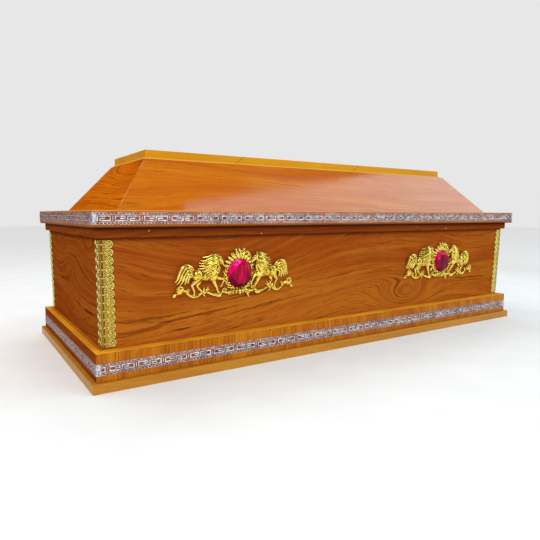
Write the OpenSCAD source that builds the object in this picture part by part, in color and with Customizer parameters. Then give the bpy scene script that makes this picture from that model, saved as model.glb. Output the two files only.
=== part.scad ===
// Wooden coffin with a lift-off hipped lid, fret bands, gilt corner trims and horse ornaments.
// Origin: middle of the underside. X runs along the length, -Y is the front, Z is up.

/* [Overall] */
// Length over the base slab
coffin_length = 2200; // [1600:10:2600]
// Width over the base slab
coffin_width = 880; // [640:10:1100]

/* [Base] */
// Thickness of the base slab
slab_thickness = 30; // [18:1:50]
// Height of the plinth rails
plinth_height = 90; // [60:1:140]
// How far the plinth stands in from the slab's edge
plinth_inset = 15; // [5:1:40]
// Thickness of a plinth rail, front to back
rail_width = 80; // [60:1:120]
// Thickness of the floor board inside the body
floor_thickness = 20; // [12:1:30]
// Gap round the floor board
floor_clearance = 2; // [0.5:0.5:5]

/* [Body] */
// Height of the four body panels
panel_height = 378; // [280:1:480]
// Thickness of a body panel
panel_thickness = 25; // [15:1:40]
// How far the body stands in from the plinth's edge
body_inset = 32; // [10:1:60]
// How far each panel leans out over its height
panel_flare = 8; // [2:1:20]
// Height of the moulding under the lid
moulding_height = 32; // [20:1:60]
// How far the moulding stands out from the body's top edge
moulding_overhang = 14; // [8:1:30]
// Radius of the moulding's lower outer edge
moulding_round = 6; // [2:1:10]

/* [Lid] */
// Thickness of the lid's rim boards
rim_height = 52; // [42:1:80]
// Width of the lid's rim boards, seen from below
rim_width = 150; // [130:1:180]
// Lid overhang beyond the moulding at the ends
lid_overhang_ends = 18; // [5:1:50]
// Lid overhang beyond the moulding at the sides
lid_overhang_sides = 28; // [5:1:50]
// Radius of the lid rim's upright corners
rim_corner_radius = 9; // [4:1:20]
// Ledge between the rim's edge and the slope at the ends
ledge_ends = 103; // [80:1:110]
// Ledge between the rim's edge and the slope at the sides
ledge_sides = 92; // [80:1:110]
// Height of the lid's sloping boards
slope_height = 186; // [120:1:260]
// How far a slope runs in over its height
slope_run = 152; // [100:1:200]
// Thickness of a sloping board, square to its face
slope_thickness = 20; // [12:1:30]
// Thickness of the flat cap board
cap_thickness = 34; // [18:1:50]
// How far the cap board stands in from the slopes' top edge at the ends
cap_inset_ends = 10; // [9:1:18]
// How far the cap board stands in from the slopes' top edge at the sides
cap_inset_sides = 19; // [9:1:22]
// Size of the slanted foot round the cap board
cap_foot = 8; // [3:1:8]
// Bevel along the boards' outer edges
edge_bevel = 1.5; // [0.5:0.5:3]

/* [Fret bands] */
// Height of a fret band
fret_height = 38; // [30:1:40]
// Thickness of the band's backing
fret_backing = 0.8; // [0.5:0.1:2]
// How far the keys stand up from the backing
fret_relief = 0.6; // [0.3:0.1:2]
// Length of one key with its divider
fret_pitch = 91; // [70:1:120]
// Clear space between two neighbouring keys
fret_gap = 14; // [8:1:20]
// Height of a key
key_height = 16; // [12:1:20]
// Width of a key's bars
key_bar = 3; // [2:0.5:4]
// Height of the band's lower edge above the plinth's lower edge
plinth_fret_rise = 20; // [5:1:45]
// Height of the band's lower edge above the lid rim's lower edge
lid_fret_rise = 9; // [2:1:12]

/* [Corner trims] */
// Width of a trim's leg up to the middle of its rosettes
trim_leg = 28; // [24:1:40]
// Gap left above and below a trim
trim_gap = 6; // [2:1:20]
// Thickness of a trim's plate
trim_plate = 1.6; // [1:0.2:3]
// Wanted distance from rosette to rosette
rosette_pitch_wanted = 25.7; // [20:0.1:40]
// How far a rosette stands up from the plate
rosette_relief = 2.4; // [1:0.2:4]

/* [Ornaments] */
// Distance from the coffin's middle to a gem's middle
ornament_offset = 567; // [480:1:700]
// Height of the left ornament's gem above the floor
ornament_height_left = 330; // [290:1:380]
// Height of the right ornament's gem above the floor
ornament_height_right = 318; // [290:1:380]
// Radius of a gem
gem_radius = 51; // [40:1:55]
// Thickness of the ring that carries the gem
gem_seat = 7; // [4:0.5:10]
// How far a gem stands out from its ring
gem_depth = 18; // [10:0.5:25]

/* [Hidden] */
$fn = 48;

// Sides of the box: each is the front turned round the upright axis
FRONT = 0;
RIGHT = 1;
BACK = 2;
LEFT = 3;

// Levels
plinth_z = slab_thickness;
body_z = plinth_z + plinth_height;
rim_z = body_z + panel_height;
slope_z = rim_z + rim_height;
cap_z = slope_z + slope_height;
moulding_z = rim_z - moulding_height;
plinth_fret_z = plinth_z + plinth_fret_rise;
lid_fret_z = rim_z + lid_fret_rise;

// Plan sizes as [length, width]
slab_plan = [coffin_length, coffin_width];
plinth_plan = grow(slab_plan, -plinth_inset);
body_plan = grow(plinth_plan, -body_inset);
body_top_plan = grow(body_plan, panel_flare);
moulding_plan = grow(body_top_plan, moulding_overhang);
rim_plan = moulding_plan + 2 * [lid_overhang_ends, lid_overhang_sides];
slope_plan = rim_plan - 2 * [ledge_ends, ledge_sides];
slope_top_plan = grow(slope_plan, -slope_run);
cap_plan = slope_top_plan - 2 * [cap_inset_ends, cap_inset_sides];

flare_per_mm = panel_flare / panel_height;
panel_lean = atan(flare_per_mm);
slope_width = slope_thickness / sin(atan(slope_height / slope_run));

trim_length = moulding_z - body_z - 2 * trim_gap;
rosette_count = round(trim_length / rosette_pitch_wanted);
rosette_pitch = trim_length / rosette_count;
rosette_overlap = 0.35;
rosette_radius = rosette_pitch / 2 + rosette_overlap;

function grow(plan, by) = plan + 2 * [by, by];
function flare_at(z) = flare_per_mm * (z - body_z);

// ---- boards ----

// A rectangle with round corners, made of squares and circles so that its corners stay true arcs
module rounded_plan(plan, radius) {
    square([plan[0] - 2 * radius, plan[1]], center = true);
    square([plan[0], plan[1] - 2 * radius], center = true);
    for (sx = [-1, 1], sy = [-1, 1])
        translate([sx * (plan[0] / 2 - radius), sy * (plan[1] / 2 - radius)])
            circle(r = radius);
}

// The wedge of plan that one side owns, cut at 45 degrees through the corners of the plan
module mitre_wedge(plan, side) {
    along = side % 2 == 0 ? plan[0] : plan[1];
    across = side % 2 == 0 ? plan[1] : plan[0];
    spare = 60;
    deep = min(along, across) / 2 - 1;
    rotate([0, 0, 90 * side])
        polygon([
            [-along / 2 - spare, -across / 2 - spare],
            [along / 2 + spare, -across / 2 - spare],
            [along / 2 - deep, -across / 2 + deep],
            [-along / 2 + deep, -across / 2 + deep]
        ]);
}

// One side of a mitred frame. Each point of the profile is [distance out from the plan's edge, height].
module mitred_side(plan, side, profile) {
    along = side % 2 == 0 ? plan[0] : plan[1];
    across = side % 2 == 0 ? plan[1] : plan[0];
    top = max([for (p = profile) p[1]]);
    spare = 100;
    intersection() {
        rotate([0, 0, 90 * side])
            rotate([90, 0, 90])
                linear_extrude(height = along + spare, center = true)
                    polygon([for (p = profile) [-across / 2 - p[0], p[1]]]);
        translate([0, 0, -1])
            linear_extrude(height = top + 2)
                mitre_wedge(plan, side);
    }
}

// Profile of a plain board with its two outer edges bevelled
function board_profile(wide, z0, z1, bevel) = [
    [-wide, z0],
    [-bevel, z0],
    [0, z0 + bevel],
    [0, z1 - bevel],
    [-bevel, z1],
    [-wide, z1]
];

module base_slab() {
    color("peru")
        difference() {
            linear_extrude(height = slab_thickness)
                rounded_plan(slab_plan, 2 * edge_bevel);
            for (side = [FRONT:LEFT])
                mitred_side(slab_plan, side, [
                    [-edge_bevel, slab_thickness],
                    [1, slab_thickness - edge_bevel - 1],
                    [1, slab_thickness + 1],
                    [-edge_bevel, slab_thickness + 1]
                ]);
        }
}

module plinth_rail(side) {
    color("sienna")
        mitred_side(plinth_plan, side, board_profile(rail_width, plinth_z, body_z, edge_bevel));
}

module floor_board() {
    inner = grow(body_plan, -panel_thickness - floor_clearance);
    color("burlywood")
        translate([-inner[0] / 2, -inner[1] / 2, body_z])
            cube([inner[0], inner[1], floor_thickness]);
}

module body_panel(side) {
    color("chocolate")
        mitred_side(body_plan, side, [
            [-panel_thickness, body_z],
            [0, body_z],
            [panel_flare, rim_z],
            [panel_flare - panel_thickness, rim_z]
        ]);
}

module moulding_strip(side) {
    round_steps = 4;
    color("saddlebrown")
        mitred_side(body_top_plan, side, concat(
            [[flare_at(moulding_z) - panel_flare, moulding_z]],
            [for (i = [0:round_steps])
                [
                    moulding_overhang - moulding_round + moulding_round * sin(90 * i / round_steps),
                    moulding_z + moulding_round - moulding_round * cos(90 * i / round_steps)
                ]
            ],
            [[moulding_overhang, rim_z], [0, rim_z]]
        ));
}

// ---- lid ----

module lid_rim(side) {
    color("sienna")
        intersection() {
            mitred_side(rim_plan, side, board_profile(rim_width, rim_z, slope_z, edge_bevel));
            translate([0, 0, rim_z - 1])
                linear_extrude(height = rim_height + 2)
                    rounded_plan(rim_plan, rim_corner_radius);
        }
}

module lid_slope(side) {
    color("darkorange")
        mitred_side(slope_plan, side, [
            [-slope_width, slope_z],
            [0, slope_z],
            [-slope_run, cap_z],
            [-slope_run - slope_width, cap_z]
        ]);
}

// Outline of the cap board seen from one side, with its slanted foot
module cap_outline(wide) {
    bevel = edge_bevel;
    half = wide / 2;
    polygon([
        [-half - cap_foot, 0],
        [half + cap_foot, 0],
        [half, cap_foot],
        [half, cap_thickness - bevel],
        [half - bevel, cap_thickness],
        [-half + bevel, cap_thickness],
        [-half, cap_thickness - bevel],
        [-half, cap_foot]
    ]);
}

module lid_cap_board() {
    spare = 2 * cap_foot + 2;
    color("goldenrod")
        translate([0, 0, cap_z])
            intersection() {
                rotate([90, 0, 90])
                    linear_extrude(height = cap_plan[0] + spare, center = true)
                        cap_outline(cap_plan[1]);
                rotate([90, 0, 0])
                    linear_extrude(height = cap_plan[1] + spare, center = true)
                        cap_outline(cap_plan[0]);
            }
}

// ---- fret bands ----

// Centre line of one key, in shares of its length and height
key_path = [
    [0.22, 0.5], [0.4, 0.5], [0.4, 1], [0, 1], [0, 0], [0.5, 0],
    [0.5, 1], [1, 1], [1, 0], [0.6, 0], [0.6, 0.5], [0.78, 0.5]
];

// One side of a bar drawn along a path of square turns; the ends are carried on by half a bar
function direction(a, b) = (b - a) / norm(b - a);
function left_of(d) = [-d[1], d[0]];
function bar_edge(path, half) = [
    for (i = [0:len(path) - 1])
        let (
            last = len(path) - 1,
            before = direction(path[max(i - 1, 0)], path[max(i, 1)]),
            after = direction(path[min(i, last - 1)], path[min(i + 1, last)]),
            turn = i == 0 || i == last ? left_of(before) : left_of(before) + left_of(after),
            cap = i == 0 ? -before : i == last ? after : [0, 0]
        )
        before == after && i > 0 && i < last ? path[i] + left_of(before) * half
            : path[i] + turn * half + cap * abs(half)
];
function reversed(list) = [for (i = [len(list) - 1:-1:0]) list[i]];

module fret_key() {
    size = [fret_pitch - fret_gap - key_bar, key_height - key_bar];
    path = [for (p = key_path) [p[0] * size[0], (p[1] - 0.5) * size[1]]];
    translate([(fret_gap + key_bar) / 2, 0])
        polygon(concat(bar_edge(path, key_bar / 2), reversed(bar_edge(path, -key_bar / 2))));
}

// The raised pattern of one band: keys, dividers and two edge lines, from -along/2 to along/2
module fret_pattern(along, start) {
    count = ceil(along / fret_pitch) + 1;
    divider = 1.6;
    edge_line = 2;
    edge_middle = fret_height / 2 - 4.5;
    intersection() {
        union() {
            for (i = [0:count]) {
                translate([-along / 2 + start + (i - 1) * fret_pitch, 0]) {
                    fret_key();
                    square([divider, key_height], center = true);
                }
            }
        }
        square([along, key_height + 1], center = true);
    }
    for (sy = [-1, 1])
        translate([-along / 2, sy * edge_middle - edge_line / 2])
            square([along, edge_line]);
}

module fret_band(plan, radius, side, z0, start) {
    along = side % 2 == 0 ? plan[0] : plan[1];
    across = side % 2 == 0 ? plan[1] : plan[0];
    sink = 0.3;
    color("lightsteelblue")
        union() {
            intersection() {
                translate([0, 0, z0])
                    linear_extrude(height = fret_height)
                        difference() {
                            rounded_plan(grow(plan, fret_backing), radius + fret_backing);
                            rounded_plan(plan, radius);
                        }
                translate([0, 0, z0 - 1])
                    linear_extrude(height = fret_height + 2)
                        mitre_wedge(plan, side);
            }
            rotate([0, 0, 90 * side])
                translate([0, -across / 2 - fret_backing + sink, z0 + fret_height / 2])
                    rotate([90, 0, 0])
                        linear_extrude(height = fret_relief + sink)
                            fret_pattern(along - 2 * radius - 2, start);
        }
}

module lid_fret(side) {
    start = side % 2 == 0 ? 58 : 30;
    fret_band(rim_plan, rim_corner_radius, side, lid_fret_z, start);
}

module plinth_fret(side) {
    start = side % 2 == 0 ? 32 : 50;
    fret_band(plinth_plan, edge_bevel, side, plinth_fret_z, start);
}

// ---- corner trims ----

// One leg of a trim: x runs in from the corner, y up the corner, z out from the wood
module trim_leg_relief() {
    rail = 1.8;
    channel = 4.4;
    bead_x = 12;
    union() {
        translate([-trim_plate, 0, 0])
            cube([trim_leg + trim_plate, trim_length, trim_plate]);
        for (x = [0, rail + channel])
            translate([x, 0, 0])
                cube([rail, trim_length, trim_plate + 1.2]);
        for (i = [0:rosette_count - 1])
            translate([trim_leg, (i + 0.5) * rosette_pitch, 0]) {
                rosette();
                translate([bead_x - trim_leg, 0, trim_plate])
                    sphere(r = 2.2, $fn = 16);
            }
    }
}

// Concentric rings round a domed middle
module rosette() {
    top = trim_plate + rosette_relief;
    difference() {
        cylinder(r = rosette_radius, h = top);
        translate([0, 0, trim_plate])
            difference() {
                cylinder(r = rosette_radius - 2.6, h = rosette_relief + 1);
                translate([0, 0, -1])
                    cylinder(r = rosette_radius - 5.6, h = rosette_relief + 3);
            }
    }
    translate([0, 0, top - 0.6])
        sphere(r = 3, $fn = 16);
}

// Slots that leave the wood showing between a leg's two rails
module trim_leg_slots() {
    slot = [4.4, rosette_pitch - 7, trim_plate + 2];
    for (i = [0:rosette_count - 1])
        translate([1.8, (i + 0.5) * rosette_pitch - slot[1] / 2, -1])
            cube(slot);
}

// The trim at the front left corner, with its foot on the body's corner at that height
module corner_trim() {
    foot_z = body_z + trim_gap;
    corner = grow(body_plan, flare_at(foot_z)) / 2;
    lean = [-flare_per_mm, -flare_per_mm, 1];
    color("gold")
        translate([-corner[0], -corner[1], foot_z])
            rotate(a = acos(1 / norm(lean)), v = cross([0, 0, 1], lean))
                difference() {
                    union() {
                        rotate([90, 0, 0])
                            trim_leg_relief();
                        mirror([1, -1, 0])
                            rotate([90, 0, 0])
                                trim_leg_relief();
                    }
                    rotate([90, 0, 0])
                        trim_leg_slots();
                    mirror([1, -1, 0])
                        rotate([90, 0, 0])
                            trim_leg_slots();
                }
}

module placed_trim(right, back) {
    mirror([right ? 1 : 0, 0, 0])
        mirror([0, back ? 1 : 0, 0])
            corner_trim();
}

// ---- ornaments ----

// All points are [sideways, up, out] from the gem's middle on the wood, for the horse on the left
module ball(at, r) {
    fine = 8;
    translate(at)
        sphere(r = r, $fn = r > fine ? 6 : 4);
}

// A limb from one point to the next along a list, each entry being [point, radius]
module limb(stations) {
    for (i = [0:len(stations) - 2])
        hull() {
            ball(stations[i][0], stations[i][1]);
            ball(stations[i + 1][0], stations[i + 1][1]);
        }
}

module horse() {
    // barrel, neck, head, and the bit that ties the mouth to the gem's ring
    limb([
        [[-174, 4, 9], 19], [[-108, 3, 10], 18], [[-96, 50, 12], 10],
        [[-78, 40, 11], 6], [[-46, 27, 3], 4]
    ]);
    // mane, in two locks swept back
    limb([[[-98, 56, 12], 10], [[-158, 46, 8], 4]]);
    limb([[[-108, 34, 13], 13], [[-160, 20, 8], 4]]);
    // tail plume
    limb([[[-184, 12, 8], 9], [[-206, 22, 9], 13], [[-242, -14, 5], 4]]);
    // hind leg and fore leg
    limb([[[-177, -8, 9], 12], [[-187, -28, 7], 6], [[-180, -63, 5], 5]]);
    limb([[[-104, -12, 9], 10], [[-85, -64, 5], 5]]);
    // raised fore leg
    limb([[[-98, -10, 9], 7], [[-70, -14, 8], 5], [[-76, -42, 6], 4]]);
}

// Ground scroll from the outer knob to the foot of the gem
module ground_scroll() {
    limb([
        [[-252, -62, 4], 5], [[-234, -46, 6], 13], [[-204, -52, 4], 5], [[-180, -65, 4], 6],
        [[-140, -55, 5], 8], [[-86, -66, 4], 6], [[-44, -60, 5], 7], [[0, -60, 6], 9]
    ]);
}

module crown_half() {
    limb([[[0, 54, 5], 9], [[0, 90, 4], 4]]);
    limb([[[-12, 58, 5], 8], [[-32, 74, 5], 6]]);
    limb([[[-32, 44, 5], 8], [[-50, 60, 5], 5]]);
}

module gem_ring() {
    ring_width = 8;
    leaf_count = 8;
    leaf = 4;
    difference() {
        cylinder(r = gem_radius + ring_width / 2, h = gem_seat, $fn = 20);
        translate([0, 0, -1])
            cylinder(r = gem_radius - ring_width, h = gem_seat + 2, $fn = 20);
    }
    for (i = [0:leaf_count - 1])
        rotate([0, 0, 360 * (i + 0.5) / leaf_count])
            translate([gem_radius + ring_width / 2 - 2, -leaf / 2, 0])
                cube([leaf + 3, leaf, gem_seat - 2]);
}

module ornament() {
    reach = 300;
    difference() {
        intersection() {
            union() {
                gem_ring();
                for (flip = [0, 1])
                    mirror([flip, 0, 0]) {
                        horse();
                        ground_scroll();
                        crown_half();
                    }
            }
            translate([-reach, -reach, 0])
                cube([2 * reach, 2 * reach, reach]);
        }
        translate([0, 0, gem_seat])
            cylinder(r = gem_radius + 0.5, h = reach, $fn = 20);
    }
}

// A cut stone with an eight-sided table
module gem() {
    girdle = 3;
    hull() {
        cylinder(r = gem_radius, h = girdle, $fn = 16);
        rotate([0, 0, 22.5])
            cylinder(r = gem_radius * 0.74, h = gem_depth * 0.72, $fn = 8);
        cylinder(r = gem_radius * 0.46, h = gem_depth, $fn = 8);
    }
}

// Places a child on the long side's panel, square to its leaning face
module on_panel(right, back) {
    height = right ? ornament_height_right : ornament_height_left;
    rotate([0, 0, back ? 180 : 0])
        translate([
            (right ? 1 : -1) * ornament_offset,
            -body_plan[1] / 2 - flare_at(height),
            height
        ])
            rotate([90 + panel_lean, 0, 0])
                children();
}

module placed_ornament(right, back) {
    color("gold")
        on_panel(right, back)
            ornament();
}

module placed_gem(right, back) {
    color("mediumvioletred")
        on_panel(right, back)
            translate([0, 0, gem_seat])
                gem();
}

base_slab();
plinth_rail(FRONT);  // plinth_front
plinth_rail(RIGHT);  // plinth_right
plinth_rail(BACK);  // plinth_back
plinth_rail(LEFT);  // plinth_left
floor_board();
body_panel(FRONT);  // side_panel_front
body_panel(RIGHT);  // end_panel_right
body_panel(BACK);  // side_panel_back
body_panel(LEFT);  // end_panel_left
moulding_strip(FRONT);  // moulding_front
moulding_strip(RIGHT);  // moulding_right
moulding_strip(BACK);  // moulding_back
moulding_strip(LEFT);  // moulding_left
lid_rim(FRONT);  // lid_rim_front
lid_rim(RIGHT);  // lid_rim_right
lid_rim(BACK);  // lid_rim_back
lid_rim(LEFT);  // lid_rim_left
lid_slope(FRONT);  // lid_slope_front
lid_slope(RIGHT);  // lid_slope_right
lid_slope(BACK);  // lid_slope_back
lid_slope(LEFT);  // lid_slope_left
lid_cap_board();
lid_fret(FRONT);  // lid_fret_front
lid_fret(RIGHT);  // lid_fret_right
lid_fret(BACK);  // lid_fret_back
lid_fret(LEFT);  // lid_fret_left
plinth_fret(FRONT);  // plinth_fret_front
plinth_fret(RIGHT);  // plinth_fret_right
plinth_fret(BACK);  // plinth_fret_back
plinth_fret(LEFT);  // plinth_fret_left
placed_trim(right = false, back = false);  // corner_trim_front_left
placed_trim(right = true, back = false);  // corner_trim_front_right
placed_trim(right = false, back = true);  // corner_trim_back_left
placed_trim(right = true, back = true);  // corner_trim_back_right
placed_ornament(right = false, back = false);  // ornament_front_left
placed_ornament(right = true, back = false);  // ornament_front_right
placed_ornament(right = false, back = true);  // ornament_back_left
placed_ornament(right = true, back = true);  // ornament_back_right
placed_gem(right = false, back = false);  // gem_front_left
placed_gem(right = true, back = false);  // gem_front_right
placed_gem(right = false, back = true);  // gem_back_left
placed_gem(right = true, back = true);  // gem_back_right
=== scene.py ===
import math

import bmesh
import bpy
import numpy
from mathutils import Matrix, Vector, noise


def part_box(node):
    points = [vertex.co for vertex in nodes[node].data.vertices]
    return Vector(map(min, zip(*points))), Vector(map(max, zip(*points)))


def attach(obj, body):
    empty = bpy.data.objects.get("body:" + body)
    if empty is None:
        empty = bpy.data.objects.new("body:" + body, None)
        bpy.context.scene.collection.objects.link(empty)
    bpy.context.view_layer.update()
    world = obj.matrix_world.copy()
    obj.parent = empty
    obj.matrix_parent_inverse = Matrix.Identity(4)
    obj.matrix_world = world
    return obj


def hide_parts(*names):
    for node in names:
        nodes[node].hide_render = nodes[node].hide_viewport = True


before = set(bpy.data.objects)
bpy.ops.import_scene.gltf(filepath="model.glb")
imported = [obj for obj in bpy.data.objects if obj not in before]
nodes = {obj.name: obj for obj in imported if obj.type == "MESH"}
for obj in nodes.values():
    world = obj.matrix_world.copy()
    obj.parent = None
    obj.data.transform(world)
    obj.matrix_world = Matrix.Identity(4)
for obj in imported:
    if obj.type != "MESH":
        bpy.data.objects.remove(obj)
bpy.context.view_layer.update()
mm = 0.001
print("frame loaded:", len(nodes), "nodes")


# a socket with sums: each sum adds its own Math node
class Wire:
    def __init__(self, graph, socket):
        self.graph = graph
        self.socket = socket

    def calc(self, operation, *others, swap=False):
        values = [self, *others]
        if swap:
            values.reverse()
        return self.graph.node("ShaderNodeMath", {"operation": operation}, dict(enumerate(values)))

    def __add__(self, other):
        return self.calc("ADD", other)

    def __sub__(self, other):
        return self.calc("SUBTRACT", other)

    def __rsub__(self, other):
        return self.calc("SUBTRACT", other, swap=True)

    def __mul__(self, other):
        return self.calc("MULTIPLY", other)

    def __truediv__(self, other):
        return self.calc("DIVIDE", other)

    def __pow__(self, other):
        return self.calc("POWER", other)

    __radd__ = __add__
    __rmul__ = __mul__


# any node tree: one method adds any node, its settings first and then its sockets
class Graph:
    def node(self, kind, settings=None, sockets=None, output=0):
        made = self.tree.nodes.new(kind)
        for key, value in (settings or {}).items():
            if key == "stops":
                self.setStops(made.color_ramp, value)
            else:
                setattr(made, key, value)
        for key, value in (sockets or {}).items():
            self.join(made.inputs[key], value)
        return Wire(self, made.outputs[output])

    def join(self, socket, value):
        if isinstance(value, Wire):
            self.tree.links.new(value.socket, socket)
        else:
            socket.default_value = value

    def setStops(self, ramp, stops):
        while len(ramp.elements) < len(stops):
            ramp.elements.new(1.0)
        for element, (position, colour) in zip(ramp.elements, stops):
            element.position = position
            element.color = solid(colour)

    def vector(self, x, y, z):
        return self.node("ShaderNodeCombineXYZ", {}, {0: x, 1: y, 2: z})


def solid(colour):
    return (*colour[:3], 1.0)


def tint(colour):
    return solid(colour) if isinstance(colour, tuple) else colour


socketNames = {
    "colour": "Base Color",
    "roughness": "Roughness",
    "metallic": "Metallic",
    "ior": "IOR",
    "specular": "Specular IOR Level",
    "coat": "Coat Weight",
    "coatRoughness": "Coat Roughness",
    "normal": "Normal",
}


# a material: self.place is the point in the coffin's own frame
class Finish(Graph):
    def __init__(self, name):
        self.material = bpy.data.materials.new(name)
        self.material.use_nodes = True
        self.tree = self.material.node_tree
        self.shader = self.tree.nodes["Principled BSDF"]
        self.place = self.node("ShaderNodeTexCoord", output="Object")

    def surface(self, **values):
        for key, value in values.items():
            self.join(self.shader.inputs[socketNames[key]], value)
        return self.material

    def axes(self, where=None):
        split = self.node("ShaderNodeSeparateXYZ", {}, {0: where or self.place})
        outputs = split.socket.node.outputs
        return [Wire(self, outputs[index]) for index in range(3)]

    def mix(self, share, first, second, blend="MIX"):
        settings = {"data_type": "RGBA", "blend_type": blend}
        sockets = {0: share, 6: tint(first), 7: tint(second)}
        return self.node("ShaderNodeMix", settings, sockets, output=2)

    def ramp(self, value, *stops):
        return self.node("ShaderNodeValToRGB", {"stops": stops}, {"Fac": value})

    def span(self, value, low, high, start=0.0, end=1.0):
        settings = {"interpolation_type": "SMOOTHSTEP", "clamp": True}
        sockets = {"Value": value, "From Min": low, "From Max": high, "To Min": start, "To Max": end}
        return self.node("ShaderNodeMapRange", settings, sockets)

    def stretch(self, scale=(1.0, 1.0, 1.0), shift=(0.0, 0.0, 0.0), turn=(0.0, 0.0, 0.0)):
        sockets = {"Vector": self.place, "Scale": scale, "Location": shift, "Rotation": turn}
        return self.node("ShaderNodeMapping", {"vector_type": "POINT"}, sockets)

    def cloud(self, where, scale, detail=2.0, roughness=0.5):
        sockets = {"Vector": where, "Scale": scale, "Detail": detail, "Roughness": roughness}
        return self.node("ShaderNodeTexNoise", {}, sockets)

    def cells(self, where, scale, output="Distance"):
        return self.node("ShaderNodeTexVoronoi", {}, {"Vector": where, "Scale": scale}, output)

    # a chance value for each cell
    def flakes(self, where, scale):
        return self.axes(self.cells(where, scale, "Color"))[0]

    def attribute(self, name):
        return self.node("ShaderNodeAttribute", {"attribute_name": name}, output="Fac")

    def shade(self, colour, parts):
        return self.mix(1.0, colour, parts, "MULTIPLY")

    def bump(self, height, strength, distance):
        sockets = {"Height": height, "Strength": strength, "Distance": distance}
        return self.node("ShaderNodeBump", {}, sockets)


# a Geometry Nodes tree with named inputs; make() runs it and hands back a plain mesh
class Shape(Graph):
    def __init__(self, name, **inputs):
        self.tree = bpy.data.node_groups.new(name, "GeometryNodeTree")
        face = self.tree.interface
        face.new_socket("Geometry", in_out="OUTPUT", socket_type="NodeSocketGeometry")
        self.keys = {}
        for key, kind in inputs.items():
            made = face.new_socket(key, in_out="INPUT", socket_type="NodeSocket" + kind)
            self.keys[key] = made.identifier
        entry = self.tree.nodes.new("NodeGroupInput")
        self.given = {key: Wire(self, entry.outputs[key]) for key in inputs}

    # copies of an object in a row
    def rows(self, what, count, start, step, **extra):
        places = {"Count": count, "Start Location": start, "Offset": step}
        line = self.node("GeometryNodeMeshLine", {}, places)
        source = self.node("GeometryNodeObjectInfo", {}, {"Object": what}, "Geometry")
        sockets = {"Points": line, "Instance": source, **extra}
        return self.node("GeometryNodeInstanceOnPoints", {}, sockets)

    def union(self, *parts):
        made = self.tree.nodes.new("GeometryNodeJoinGeometry")
        for part in parts:
            self.tree.links.new(part.socket, made.inputs[0])
        return Wire(self, made.outputs[0])

    def coated(self, part, material):
        real = self.node("GeometryNodeRealizeInstances", {}, {"Geometry": part})
        return self.node("GeometryNodeSetMaterial", {}, {"Geometry": real, "Material": material})

    def finish(self, part):
        leave = self.tree.nodes.new("NodeGroupOutput")
        self.tree.links.new(part.socket, leave.inputs[0])

    def make(self, **values):
        carrier = looseObject("carrier", bpy.data.meshes.new("carrier"))
        modifier = carrier.modifiers.new("shape", "NODES")
        modifier.node_group = self.tree
        for key, value in values.items():
            modifier[self.keys[key]] = value
        mesh = evaluated(carrier)
        bpy.data.objects.remove(carrier)
        return mesh


# the mesh that an object's modifiers give
def evaluated(host):
    view = bpy.context.evaluated_depsgraph_get()
    return bpy.data.meshes.new_from_object(host.evaluated_get(view), depsgraph=view)


def looseObject(name, mesh):
    made = bpy.data.objects.new(name, mesh)
    bpy.context.collection.objects.link(made)
    return made


# a piece that stands for one node of the frame
def makePiece(name, mesh, node):
    piece = looseObject(name, mesh)
    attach(piece, "root")
    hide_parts(node)
    return piece


def meshFrom(name, shape):
    mesh = bpy.data.meshes.new(name)
    shape.to_mesh(mesh)
    shape.free()
    return mesh


# a closed skin over rings of points; a first ring of one point is a tip
def skinned(name, rings, closed=False):
    shape = bmesh.new()
    rows = [[shape.verts.new(point) for point in ring] for ring in rings]
    pairs = list(zip(rows, rows[1:]))
    if closed:
        pairs.append((rows[-1], rows[0]))
    for one, two in pairs:
        for index in range(len(two)):
            turn = (index + 1) % len(two)
            if len(one) == 1:
                shape.faces.new((one[0], two[index], two[turn]))
            else:
                shape.faces.new((one[index], two[index], two[turn], one[turn]))
    if not closed:
        if len(rows[0]) > 1:
            shape.faces.new(rows[0])
        shape.faces.new(list(reversed(rows[-1])))
    bmesh.ops.recalc_face_normals(shape, faces=shape.faces)
    return meshFrom(name, shape)


# a copy of a mesh put through a matrix; a mirrored copy has its faces turned round again
def placed(mesh, matrix):
    copy = mesh.copy()
    copy.transform(matrix)
    if matrix.determinant() < 0:
        copy.flip_normals()
    return copy


# one mesh from many, each face keeping its material
def joined(name, meshes):
    shape = bmesh.new()
    materials = []
    for mesh in meshes:
        first = len(shape.faces)
        shape.from_mesh(mesh)
        shape.faces.ensure_lookup_table()
        for index in range(first, len(shape.faces)):
            face = shape.faces[index]
            material = mesh.materials[face.material_index] if len(mesh.materials) else None
            if material not in materials:
                materials.append(material)
            face.material_index = materials.index(material)
    made = meshFrom(name, shape)
    for material in materials:
        made.materials.append(material)
    return made


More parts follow.
